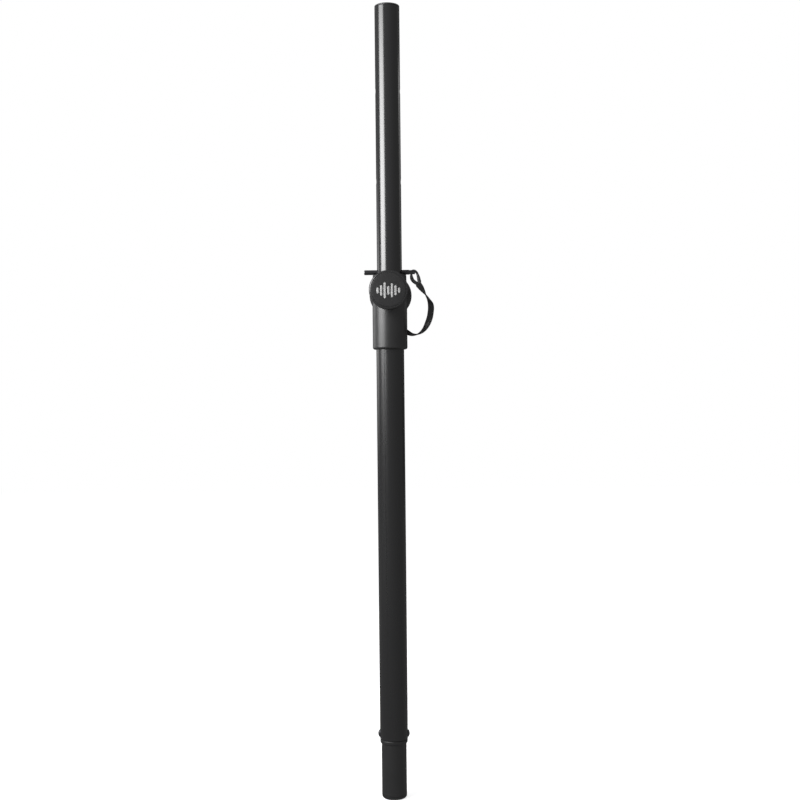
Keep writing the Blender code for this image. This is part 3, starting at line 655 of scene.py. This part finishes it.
def make_strap_upper():
    """The eye round the pin's rivet and the band down to the middle of the strap, as one moulded piece."""
    centres, sections = band_rings()
    last = STRAP_SPLIT * STRAP_STEPS
    end = last + 6
    back = (centres[0] - centres[2]).normalized() * 0.0006
    lead = [centres[0] + back * step for step in (4, 3, 2, 1)]
    tongue = [[offset * share for offset in sections[0]] for share in (0.70, 0.84, 0.93, 0.98)]
    band = swept("band", lead + centres[:end], tongue + sections[:end])
    strap = joined("strap_upper", [band, eye_ring()])
    skin = strap.modifiers.new("skin", "REMESH")
    skin.mode = "VOXEL"
    skin.voxel_size = SKIN_VOXEL
    relax = strap.modifiers.new("relax", "SMOOTH")
    relax.factor = 0.5
    relax.iterations = 3
    bake(strap)
    along = (centres[last + 1] - centres[last - 1]).normalized()
    bm = bmesh.new()
    bm.from_mesh(strap.data)
    everything = bm.verts[:] + bm.edges[:] + bm.faces[:]
    along_cut = bmesh.ops.bisect_plane(
        bm, geom=everything, plane_co=centres[last], plane_no=along, clear_outer=True
    )["geom_cut"]
    rim = [item for item in along_cut if isinstance(item, bmesh.types.BMEdge)]
    bmesh.ops.contextual_create(bm, geom=rim)
    bm.to_mesh(strap.data)
    bm.free()
    strap.data.shade_smooth()
    place_piece(strap, None, ["pin_strap_eye", "pin_strap_upper"], "strap_rubber")
    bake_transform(strap)


def make_strap_lower():
    """The band from the middle of the strap to the screw on the collar."""
    centres, sections = band_rings()
    first = STRAP_SPLIT * STRAP_STEPS
    strap = swept("strap_lower", centres[first:], sections[first:])
    out, foot = strap_screw_line()
    cut(strap, [rod(SCREW_HOLE, foot + out * STRAP_CUT_START, foot + out * STRAP_CUT_END)])
    place_piece(strap, None, ["pin_strap_lower"], "strap_rubber")
    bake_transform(strap)


# ------------------------------------------------------------------------------------ tubes


def round_normals(thing, radius):
    """Shade a cut tube's wall as the true round one."""
    mesh = thing.data
    normals = [corner.vector.copy() for corner in mesh.corner_normals]
    for face in mesh.polygons:
        for loop in face.loop_indices:
            point = mesh.vertices[mesh.loops[loop].vertex_index].co
            reach = math.hypot(point.x, point.y)
            outward = face.normal.x * point.x + face.normal.y * point.y
            if abs(reach - radius) < radius * 2e-4 and outward > 0.995 * reach:
                normals[loop] = Vector((point.x / reach, point.y / reach, 0))
    mesh.normals_split_custom_set(normals)
    return thing


def make_upper_tube():
    """The thin tube with its cross holes."""
    low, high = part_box("upper_tube")
    outline = [
        (UPPER_BORE, low.z, 0.0003), (UPPER_RADIUS, low.z, 0.0005),
        (UPPER_RADIUS, high.z, 0.0005), (UPPER_BORE, high.z, 0.0003),
    ]
    tube = turned("pole_upper", rounded(outline, 4))
    heights = [PIN_HEIGHT + HOLE_PITCH * step for step in range(-2, 3)]
    cut(tube, [rod(HOLE_RADIUS, (-CUT_END, 0, height), (CUT_END, 0, height)) for height in heights])
    soften_rims(tube, width=0.00035)
    round_normals(tube, UPPER_RADIUS)
    return place_piece(tube, "upper_section", ["upper_tube"], "upper_coat")


def make_lower_tube():
    """The fat tube with its two button holes."""
    low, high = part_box("lower_tube")
    outline = [
        (LOWER_BORE, low.z, 0.0003), (LOWER_RADIUS, low.z, 0.0006),
        (LOWER_RADIUS, high.z, 0.0004), (LOWER_BORE, high.z, 0.0003),
    ]
    tube = turned("pole_lower", rounded(outline, 4))
    hole = BUTTON_RADIUS + GAP
    tools = [rod(hole, (-CUT_END, 0, BUTTON_HEIGHT), (CUT_END, 0, BUTTON_HEIGHT))]
    tools.append(rod(CHAMBER_RADIUS, (0, 0, CLAMP_HEIGHT), (0, -CUT_END, CLAMP_HEIGHT)))
    cut(tube, tools)
    soften_rims(tube, width=0.0003)
    round_normals(tube, LOWER_RADIUS)
    return place_piece(tube, "lower_section", ["lower_tube"], "lower_coat")


def make_top_cap():
    """The cap in the upper tube's end: a lip, a shallow dish and a moulding mark."""
    low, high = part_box("top_cap")
    fit = UPPER_BORE - GAP
    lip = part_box("upper_tube")[1].z + GAP
    top = high.z
    outline = [
        (0, lip - CAP_FLOOR), (fit - CAP_WALL, lip - CAP_FLOOR), (fit - CAP_WALL, low.z),
        (fit, low.z, 0.0008), (fit, lip), (UPPER_RADIUS, lip, 0.0003), (UPPER_RADIUS, top, 0.0012),
        (DISH_RADIUS, top, 0.0006), (DISH_RADIUS - DISH_SLOPE, top - DISH_DEPTH, 0.0006),
        (MARK_RADIUS, top - DISH_DEPTH, 0.0002), (MARK_RADIUS - 0.0002, top - MARK_DEPTH, 0.0002),
        (PIP_RADIUS, top - MARK_DEPTH), (PIP_RADIUS - 0.0003, top - PIP_DEPTH), (0, top - PIP_DEPTH),
    ]
    cap = even_normals(turned("cap_top", rounded(outline)))
    return place_piece(cap, "upper_section", ["top_cap"], "cap_plastic")


# ------------------------------------------------------------------------------------ collar and clamp


def collar_radius_at(height):
    """The collar's outer radius beside the clamp: straight, then narrowing to the mouth."""
    share = min(max((height - TAPER_START) / (COLLAR_TOP - TAPER_START), 0.0), 1.0)
    return COLLAR_RADIUS + (COLLAR_MOUTH_RADIUS - COLLAR_RADIUS) * share


def make_boss(side):
    """A boss on the collar's side (-1 front, 1 rear) that flares into the round sleeve."""
    sides, hole = 144, STUD_RADIUS + 2 * GAP
    rows = []
    for step in range(9):
        turn = math.radians(90 - 90 * step / 8)
        reach = BOSS_RADIUS + BOSS_FILLET * (1 - math.cos(turn))
        rows.append((reach, BOSS_FILLET * (1 - math.sin(turn)) - BOSS_SINK, "on the wall"))
    rows.append((BOSS_RADIUS, -BOSS_RIM_ROUND, "on the face"))
    for step in range(1, 6):
        turn = math.radians(90 * step / 5)
        reach = BOSS_RADIUS - BOSS_RIM_ROUND + BOSS_RIM_ROUND * math.cos(turn)
        rows.append((reach, BOSS_RIM_ROUND * (math.sin(turn) - 1), "on the face"))
    rows.append((hole + HOLE_CHAMFER, 0.0, "on the face"))
    rows.append((hole, -HOLE_CHAMFER, "on the face"))
    rows.append((hole, -BOSS_HOLE_DEPTH, "on the face"))
    bm = bmesh.new()
    rings = []
    for reach, lift, base in rows:
        ring = []
        for step in range(sides):
            turn = TAU * step / sides
            x, z = reach * math.cos(turn), CLAMP_HEIGHT + reach * math.sin(turn)
            wall = math.sqrt(max(collar_radius_at(z) ** 2 - x * x, 0.0))
            y = (wall if base == "on the wall" else BOSS_REACH) + lift
            ring.append(bm.verts.new((x, side * y, z)))
        rings.append(ring)
    for here, there in zip(rings, rings[1:]):
        for step in range(sides):
            after = (step + 1) % sides
            bm.faces.new([here[step], here[after], there[after], there[step]])
    return add_object("boss", bm)


def make_collar():
    """The moulded collar: a sleeve with a round lower lip and a boss at the front and at the back."""
    low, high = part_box("collar_housing")
    bore = LOWER_RADIUS + GAP
    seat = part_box("lower_tube")[1].z
    outline = [
        (bore, low.z, 0.0005), (COLLAR_RADIUS, low.z, COLLAR_LIP_ROUND), (COLLAR_RADIUS, TAPER_START),
        (COLLAR_MOUTH_RADIUS, high.z, 0.0012), (BUSH_RADIUS + GAP, high.z, 0.0004), (BUSH_RADIUS + GAP, seat),
        (bore, seat),
    ]
    sleeve = turned("sleeve", rounded(outline, 8))
    tools = [rod(CHAMBER_RADIUS, (0, 0, CLAMP_HEIGHT), (0, -CUT_END, CLAMP_HEIGHT))]
    counterbore = COLLAR_RADIUS - COUNTERBORE_DEPTH
    for height in COLLAR_SCREW_HEIGHTS.values():
        tools.append(rod(SCREW_COUNTERBORE, (0, counterbore, height), (0, CUT_END, height)))
        tools.append(rod(SCREW_HOLE, (0, CUT_START, height), (0, SCREW_HOLE_END, height)))
    cut(sleeve, tools)
    soften_rims(sleeve, width=0.00025)
    collar = joined("collar", [sleeve, make_boss(-1), make_boss(1)])
    even_normals(collar)
    return place_piece(collar, "lower_section", ["collar_housing"], "collar_plastic")


def make_bush():
    """The bush in the collar's mouth."""
    low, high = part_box("collar_bush")
    bore = UPPER_RADIUS + SLIDE_GAP
    outline = [(bore, low.z), (BUSH_RADIUS, low.z), (BUSH_RADIUS, high.z, 0.0004), (bore, high.z, 0.0005)]
    bush = even_normals(turned("bush", rounded(outline)))
    return place_piece(bush, "lower_section", ["collar_bush"], "nylon")


FRONT = facing((0, -1, 0), (0, 0, CLAMP_HEIGHT))
REAR = facing((0, 1, 0), (0, 0, CLAMP_HEIGHT))


def make_knob():
    """The clamp knob: a neck, a fluted grip and a smooth front rim round the face plate's seat."""
    seat = KNOB_FRONT - BADGE_SEAT_DEPTH
    grip_low, grip_high = KNOB_BACK + GRIP_START, KNOB_FRONT - GRIP_END
    middle = [(KNOB_RADIUS, grip_low + (grip_high - grip_low) * step / 12) for step in range(13)]
    outline = rounded([
        (STUD_RADIUS + GAP, KNOB_BACK), (KNOB_NECK_RADIUS, KNOB_BACK, 0.0004),
        (KNOB_FLARE_RADIUS, KNOB_BACK + FLARE_DEPTH, 0.0010),
        (KNOB_RADIUS - KNOB_SHOULDER, KNOB_BACK + KNOB_WEB, 0.0010),
        (KNOB_RADIUS, KNOB_BACK + KNOB_SHOULDER_HEIGHT, 0.0010), *middle,
        (KNOB_RADIUS, KNOB_FRONT, KNOB_RIM_ROUND), (BADGE_RADIUS + GAP, KNOB_FRONT - 0.0004, 0.0003),
        (BADGE_RADIUS + GAP, seat), (STUD_RADIUS + GAP, seat),
    ])

    def flutes(turn, radius, height):
        """The grip's radius: shallow hollows that run out before the rims."""
        if radius < KNOB_RADIUS - 1e-6 or not grip_low < height < grip_high:
            return radius
        share = min(height - grip_low, grip_high - height) / (grip_high - grip_low)
        ease = min(share * 5, 1.0)
        return radius - GRIP_DEPTH * ease * (0.5 - 0.5 * math.cos(turn * GRIP_FLUTES)) ** 0.8

    knob = even_normals(turned("knob", outline, FRONT, sides=GRIP_FLUTES * 8, relief=flutes))
    place_piece(knob, "knob", ["knob_body"], "knob_plastic")


def plate_height(radius):
    """The face plate's gentle dome, as a distance from the pole's axis."""
    return KNOB_FRONT - BADGE_EDGE_DROP + BADGE_DOME * (1 - (radius / BADGE_RADIUS) ** 2)


def make_plate():
    """The face plate on the knob."""
    edge = KNOB_FRONT - BADGE_EDGE_DROP
    back = KNOB_FRONT - BADGE_SEAT_DEPTH + GAP
    outline = [(0, back), (BADGE_RADIUS, back)]
    outline += rounded([(BADGE_RADIUS, back), (BADGE_RADIUS, edge, 0.0006), (0.0, edge)], 5)[1:-1]
    radii = [BADGE_RADIUS * step / 16 for step in range(15, -1, -1)]
    outline += [(radius, plate_height(radius)) for radius in radii]
    plate = turned("knob_plate", outline, FRONT)
    place_piece(plate, "knob", ["knob_badge"], "badge_plastic")


# The emblem is a plain row of upright bars: the height of each one, then their pitch, width and middle.
EMBLEM_BARS = [0.0080, 0.0142, 0.0218, 0.0118, 0.0190, 0.0134, 0.0072]
EMBLEM_PITCH = 0.0049
EMBLEM_BAR_WIDTH = 0.0029
EMBLEM_CENTRE = (-0.0002, -0.0012)
EMBLEM_RAISE = 0.00012
EMBLEM_EDGE = 0.00012
EMBLEM_SINK = 0.0001


def make_emblem():
    """A row of round-ended bars printed proud of the face plate."""
    bars = []
    cap = EMBLEM_BAR_WIDTH / 2
    turns = [math.radians(10 * step) for step in range(9)]
    for index, tall in enumerate(EMBLEM_BARS):
        middle = EMBLEM_CENTRE[0] + (index - (len(EMBLEM_BARS) - 1) / 2) * EMBLEM_PITCH
        straight = tall / 2 - cap
        rows = [(-straight - cap * math.sin(turn), cap * math.cos(turn)) for turn in reversed(turns)]
        rows += [(straight * (step / 6 - 1), cap) for step in range(1, 12)]
        rows += [(straight + cap * math.sin(turn), cap * math.cos(turn)) for turn in turns]
        rings = []
        for level, half in rows:
            flat = half - min(EMBLEM_EDGE, half / 2)
            profile = [(half, -EMBLEM_SINK), (half, EMBLEM_RAISE / 2), (flat, EMBLEM_RAISE)]
            profile += [(0.0, EMBLEM_RAISE)] + [(-across, lift) for across, lift in reversed(profile)]
            ring = []
            for across, lift in profile:
                x, z = middle + across, EMBLEM_CENTRE[1] + level
                ring.append(Vector((x, -plate_height(math.hypot(x, z)) - lift, CLAMP_HEIGHT + z)))
            rings.append(ring)
        bars.append(swept("bar", [Vector()] * len(rings), rings))
    place_piece(joined("knob_emblem", bars), "knob", [], "badge_plastic", look="emblem_print")


def make_rear_disc():
    """The round disc on the collar's rear boss."""
    near = BOSS_REACH + GAP
    recess = KNOB_FRONT - REAR_RECESS_DEPTH
    groove = KNOB_FRONT - GROOVE_DEPTH
    outline = rounded([
        (REAR_HOLE, near), (REAR_NECK_RADIUS, near, 0.0004), (REAR_FLARE_RADIUS, near + 0.0020, 0.0010),
        (REAR_DISC_RADIUS - REAR_SHOULDER, near + KNOB_WEB, 0.0010),
        (REAR_DISC_RADIUS, near + REAR_SHOULDER_HEIGHT, 0.0012),
        (REAR_DISC_RADIUS, KNOB_FRONT, KNOB_RIM_ROUND),
        (GROOVE_OUTER, KNOB_FRONT, 0.0004), (GROOVE_OUTER - GROOVE_SLOPE, groove, 0.0004),
        (GROOVE_INNER + GROOVE_SLOPE, groove, 0.0004), (GROOVE_INNER, KNOB_FRONT, 0.0004),
        (REAR_RECESS_RADIUS, KNOB_FRONT, 0.0005), (REAR_RECESS_RADIUS, recess, 0.0006), (REAR_HOLE, recess),
    ])
    disc = even_normals(turned("disc_rear", outline, REAR))
    place_piece(disc, "lower_section", ["rear_disc"], "knob_plastic")


def make_screw(name, node, at, direction, size, depth):
    """A pan head screw with a cross recess."""
    head_radius, head_height, shank_radius = size
    outline = rounded([
        (0, -depth), (shank_radius * 0.6, -depth), (shank_radius, -depth + 0.001), (shank_radius, 0.0),
        (head_radius, 0.0, 0.0002), (head_radius, head_height * 0.62, head_height * 0.22),
        (head_radius * 0.66, head_height * 0.96, head_height * 0.5), (0, head_height),
    ])
    place = facing(direction, at)
    screw = turned(name, outline, place, sides=96)
    reach, arm = head_radius * 0.55, head_radius * 0.12
    floor, above = head_height * 0.42, head_height * 2
    cut(screw, [slab((-a, -b, floor), (a, b, above), place) for a, b in ((reach, arm), (arm, reach))])
    soften_rims(screw, width=head_radius * 0.03)
    even_normals(screw)
    place_piece(screw, "lower_section", [node], "zinc_steel")


def make_screws():
    """The screws of the collar, the rear disc and the strap, and the strap's washer."""
    floor = COLLAR_RADIUS - COUNTERBORE_DEPTH + GAP
    depth = floor - LOWER_BORE - SCREW_END_CLEARANCE
    rear = (0, 1, 0)
    for name, height in COLLAR_SCREW_HEIGHTS.items():
        make_screw(f"screw_{name}", f"collar_screw_{name}", (0, floor, height), rear, COLLAR_SCREW, depth)
    head = KNOB_FRONT - REAR_RECESS_DEPTH + GAP
    depth = head - DISC_SCREW_END
    make_screw("screw_disc", "rear_disc_screw", (0, head, CLAMP_HEIGHT), rear, DISC_SCREW, depth)
    out, foot = strap_screw_line()
    inner = COLLAR_RADIUS + WASHER_STANDOFF
    outer = inner + WASHER_THICKNESS
    ring = [(WASHER_HOLE, inner), (WASHER_RADIUS, inner, 0.0002)]
    ring += [(WASHER_RADIUS, outer, 0.0003), (WASHER_HOLE, outer, 0.0002)]
    washer = even_normals(turned("washer", rounded(ring), facing(out, foot), sides=96))
    place_piece(washer, "lower_section", ["strap_washer"], "zinc_steel")
    head = outer + GAP
    depth = head - LOWER_BORE - SCREW_END_CLEARANCE
    make_screw("screw_strap", "strap_screw", foot + out * head, out, STRAP_SCREW, depth)


# ------------------------------------------------------------------------------------ pin and foot


def make_pin():
    """The cross pin with its chamfered tip, its forked end and the rivet across the fork."""
    low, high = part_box("safety_pin")
    length = high.x - low.x
    outline = rounded([
        (0, 0), (PIN_RADIUS - PIN_CHAMFER, 0, 0.0002), (PIN_RADIUS, PIN_CHAMFER_LENGTH, 0.0006),
        (PIN_RADIUS, length, 0.0005), (0, length),
    ])
    pin = turned("pin", outline, facing((1, 0, 0), (low.x, 0, PIN_HEIGHT)), sides=96)
    half = FORK_GAP / 2
    past = 0.01
    slot = slab((high.x - FORK_DEPTH, -half, PIN_HEIGHT - past), (high.x + past, half, PIN_HEIGHT + past))
    hole = RIVET_RADIUS + GAP / 2
    cut(pin, [slot, rod(hole, (RIVET_X, -past, RIVET_HEIGHT), (RIVET_X, past, RIVET_HEIGHT), sides=32)])
    soften_rims(pin, width=0.00018)
    even_normals(pin)
    place_piece(pin, "safety_pin", ["safety_pin"], "pin_steel")
    end = PIN_RADIUS - GAP
    outline = rounded([(0, -end), (RIVET_RADIUS, -end, 0.0003), (RIVET_RADIUS, end, 0.0003), (0, end)])
    rivet = turned("rivet", outline, facing((0, 1, 0), (RIVET_X, 0, RIVET_HEIGHT)), sides=48)
    place_piece(rivet, "safety_pin", ["pin_rivet"], "pin_steel")


def make_foot():
    """The reducer in the lower tube's end: spigot, stop flange, end plug, and the two snap buttons."""
    low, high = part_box("adapter_sleeve")
    fit = LOWER_BORE - GAP
    flange_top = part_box("lower_tube")[0].z - GAP
    outline = rounded([
        (SPIGOT_BORE, low.z), (SPIGOT_RADIUS, low.z, 0.0002), (SPIGOT_RADIUS, FLANGE_BOTTOM, 0.0005),
        (FLANGE_RADIUS, FLANGE_BOTTOM, 0.0012), (FLANGE_RADIUS, flange_top, 0.0012), (fit, flange_top),
        (fit, high.z, 0.0010), (SPIGOT_BORE, high.z, 0.0004),
    ])
    sleeve = turned("foot_spigot", outline)
    cut(sleeve, [rod(BUTTON_RADIUS + GAP, (-CUT_END, 0, BUTTON_HEIGHT), (CUT_END, 0, BUTTON_HEIGHT))])
    even_normals(sleeve)
    place_piece(sleeve, "lower_section", ["adapter_sleeve"], "adapter_plastic")
    plug = SPIGOT_BORE - GAP
    low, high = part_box("adapter_end_cap")
    outline = rounded([
        (0, END_RECESS_DEPTH), (END_RECESS_RADIUS, END_RECESS_DEPTH, 0.0002),
        (END_RECESS_RADIUS + END_RECESS_SLOPE, low.z, 0.0003), (SPIGOT_RADIUS, low.z, END_ROUND),
        (SPIGOT_RADIUS, END_CAP_HEIGHT), (plug, END_CAP_HEIGHT), (plug, high.z, 0.0005),
        (plug - CAP_WALL, high.z), (plug - CAP_WALL, END_CAP_HEIGHT), (0, END_CAP_HEIGHT),
    ], 8)
    cap = even_normals(turned("foot_plug", outline))
    place_piece(cap, "lower_section", ["adapter_end_cap"], "adapter_plastic")
    turns = [math.radians(6 * step) for step in range(16)]
    rise = BUTTON_TIP - BUTTON_SHOULDER
    dome = [(BUTTON_RADIUS * math.cos(turn), BUTTON_SHOULDER + rise * math.sin(turn)) for turn in turns]
    outline = rounded([
        (0, BUTTON_INNER), (BUTTON_FLANGE_RADIUS, BUTTON_INNER, 0.0003),
        (BUTTON_FLANGE_RADIUS, BUTTON_FLANGE, 0.0003), (BUTTON_RADIUS, BUTTON_FLANGE),
    ])
    for side, name in ((-1, "left_button"), (1, "right_button")):
        place = facing((side, 0, 0), (0, 0, BUTTON_HEIGHT))
        button = turned(f"snap_{name}", [*outline, *dome], place, sides=96)
        place_piece(button, name, [name], "spring_steel")


def dress_hidden_nodes():
    """The CAD nodes that stay get their finishes."""
    slots = {
        "upper_tube_plug": "cap_plastic", "knob_nut": "zinc_steel", "knob_stud": "zinc_steel",
        "pressure_pad": "nylon", "button_spring": "spring_steel",
    }
    for node, slot in slots.items():
        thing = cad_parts[node]
        if not thing.data.materials:
            thing.data.materials.append(FINISHES[slot])
        for place in thing.material_slots:
            place.link = "OBJECT"
            place.material = FINISHES[slot]


# ------------------------------------------------------------------------------------ studio


def grey_ramp(tree, source, marks, interpolation):
    """Map a value from 0 to 1 to grey levels at the given (position, level) marks."""
    ramp = tree.nodes.new("ShaderNodeValToRGB")
    ramp.color_ramp.interpolation = interpolation
    while len(ramp.color_ramp.elements) < len(marks):
        ramp.color_ramp.elements.new(0.5)
    for element, (position, value) in zip(ramp.color_ramp.elements, marks):
        element.position = position
        element.color = (value, value, value, 1)
    tree.links.new(source, ramp.inputs["Fac"])
    return ramp.outputs["Color"]


def emission(name, strength, stops):
    """A light panel's material; its strength follows stops along two axes of the panel's own box."""
    made = bpy.data.materials.new(name)
    made.use_nodes = True
    tree = made.node_tree
    tree.nodes.clear()
    glow = new_node(tree, "ShaderNodeEmission", Strength=strength)
    out = tree.nodes.new("ShaderNodeOutputMaterial")
    tree.links.new(glow.outputs[0], out.inputs["Surface"])
    where = tree.nodes.new("ShaderNodeTexCoord")
    split = tree.nodes.new("ShaderNodeSeparateXYZ")
    tree.links.new(where.outputs["Generated"], split.inputs[0])
    both = new_node(tree, "ShaderNodeMix", data_type="RGBA", blend_type="MULTIPLY")
    both.inputs["Factor"].default_value = 1.0
    for (axis, marks), socket in zip(stops.items(), (both.inputs[6], both.inputs[7])):
        tree.links.new(grey_ramp(tree, split.outputs[axis], marks, "EASE"), socket)
    tree.links.new(both.outputs[2], glow.inputs["Color"])
    return made


def panel(name, turn, distance, width, low, high, look):
    """An upright light panel that faces the pole; turn is its bearing from the camera side towards -X."""
    bm = bmesh.new()
    corners = [(-width / 2, 0, low), (width / 2, 0, low), (width / 2, 0, high), (-width / 2, 0, high)]
    bm.faces.new([bm.verts.new(corner) for corner in corners])
    mesh = bpy.data.meshes.new(name)
    bm.to_mesh(mesh)
    bm.free()
    mesh.materials.append(look)
    made = bpy.data.objects.new(name, mesh)
    bearing = math.radians(turn)
    made.matrix_world = (
        Matrix.Translation((-distance * math.sin(bearing), -distance * math.cos(bearing), 0))
        @ Matrix.Rotation(-bearing, 4, "Z")
    )
    made.visible_camera = False
    bpy.context.scene.collection.objects.link(made)
    return made


def make_studio():
    """A white backdrop, a pale floor, a tall soft panel at the left and weak ones behind on either side."""
    world = bpy.data.worlds.new("studio")
    bpy.context.scene.world = world
    world.use_nodes = True
    tree = world.node_tree
    tree.nodes.clear()
    white = new_node(tree, "ShaderNodeBackground", Color=(1, 1, 1, 1), Strength=1.0)
    dim = new_node(tree, "ShaderNodeBackground", Strength=0.42)
    where = tree.nodes.new("ShaderNodeTexCoord")
    split = tree.nodes.new("ShaderNodeSeparateXYZ")
    tree.links.new(where.outputs["Generated"], split.inputs[0])
    marks = [(0.0, 1.0), (0.35, 0.9), (0.65, 0.7), (0.90, 0.5), (0.975, 0.03)]
    rearward = spread(tree, split.outputs["Y"], -1.0, 1.0, 0.0, 1.0)
    tree.links.new(grey_ramp(tree, rearward, marks, "LINEAR"), dim.inputs["Color"])
    path = tree.nodes.new("ShaderNodeLightPath")
    mix = tree.nodes.new("ShaderNodeMixShader")
    out = tree.nodes.new("ShaderNodeOutputWorld")
    tree.links.new(path.outputs["Is Camera Ray"], mix.inputs["Fac"])
    tree.links.new(dim.outputs[0], mix.inputs[1])
    tree.links.new(white.outputs[0], mix.inputs[2])
    tree.links.new(mix.outputs[0], out.inputs["Surface"])

    key = emission("key_glow", 20.0, {
        "X": [(0.0, 0.0), (0.22, 1.0), (0.78, 1.0), (1.0, 0.0)],
        "Z": [
            (0.0, 0.0), (0.12, 0.25), (0.24, 0.90), (0.32, 1.0), (0.45, 1.0), (0.66, 0.80), (0.76, 0.5),
            (1.0, 0.25),
        ],
    })
    panel("key_panel", turn=57, distance=1.2, width=1.2, low=0.58, high=1.75, look=key)
    side = emission("side_glow", 2.4, {
        "X": [(0.0, 0.0), (0.3, 1.0), (0.7, 1.0), (1.0, 0.0)],
        "Z": [(0.0, 0.0), (0.5, 1.0), (1.0, 0.2)],
    })
    panel("side_panel", turn=122, distance=1.4, width=1.2, low=0.35, high=1.15, look=side)
    rim = emission("rim_glow", 2.0, {
        "X": [(0.0, 0.0), (0.4, 1.0), (0.6, 1.0), (1.0, 0.0)],
        "Z": [(0.0, 0.0), (0.27, 0.12), (0.73, 0.4), (1.0, 1.0)],
    })
    panel("rim_panel", turn=-128, distance=1.4, width=0.8, low=0.35, high=1.40, look=rim)

    bm = bmesh.new()
    bmesh.ops.create_grid(bm, x_segments=1, y_segments=1, size=6.0)
    bmesh.ops.translate(bm, vec=(0, 0, -0.0003), verts=bm.verts)
    floor = add_object("floor", bm)
    look = bpy.data.materials.new("floor_paper")
    look.use_nodes = True
    shader = look.node_tree.nodes["Principled BSDF"]
    shader.inputs["Base Color"].default_value = (0.80, 0.80, 0.80, 1)
    shader.inputs["Roughness"].default_value = 0.9
    shader.inputs["Emission Color"].default_value = (1, 1, 1, 1)
    shader.inputs["Emission Strength"].default_value = 0.75
    floor.data.materials.append(look)
    floor.visible_glossy = False
    floor.visible_diffuse = False

    bpy.context.scene.view_settings.view_transform = "Standard"


make_camera()
make_strap_upper()
make_strap_lower()
make_upper_tube()
make_lower_tube()
make_top_cap()
make_collar()
make_bush()
make_knob()
make_plate()
make_emblem()
make_rear_disc()
make_screws()
make_pin()
make_foot()
dress_hidden_nodes()
make_studio()
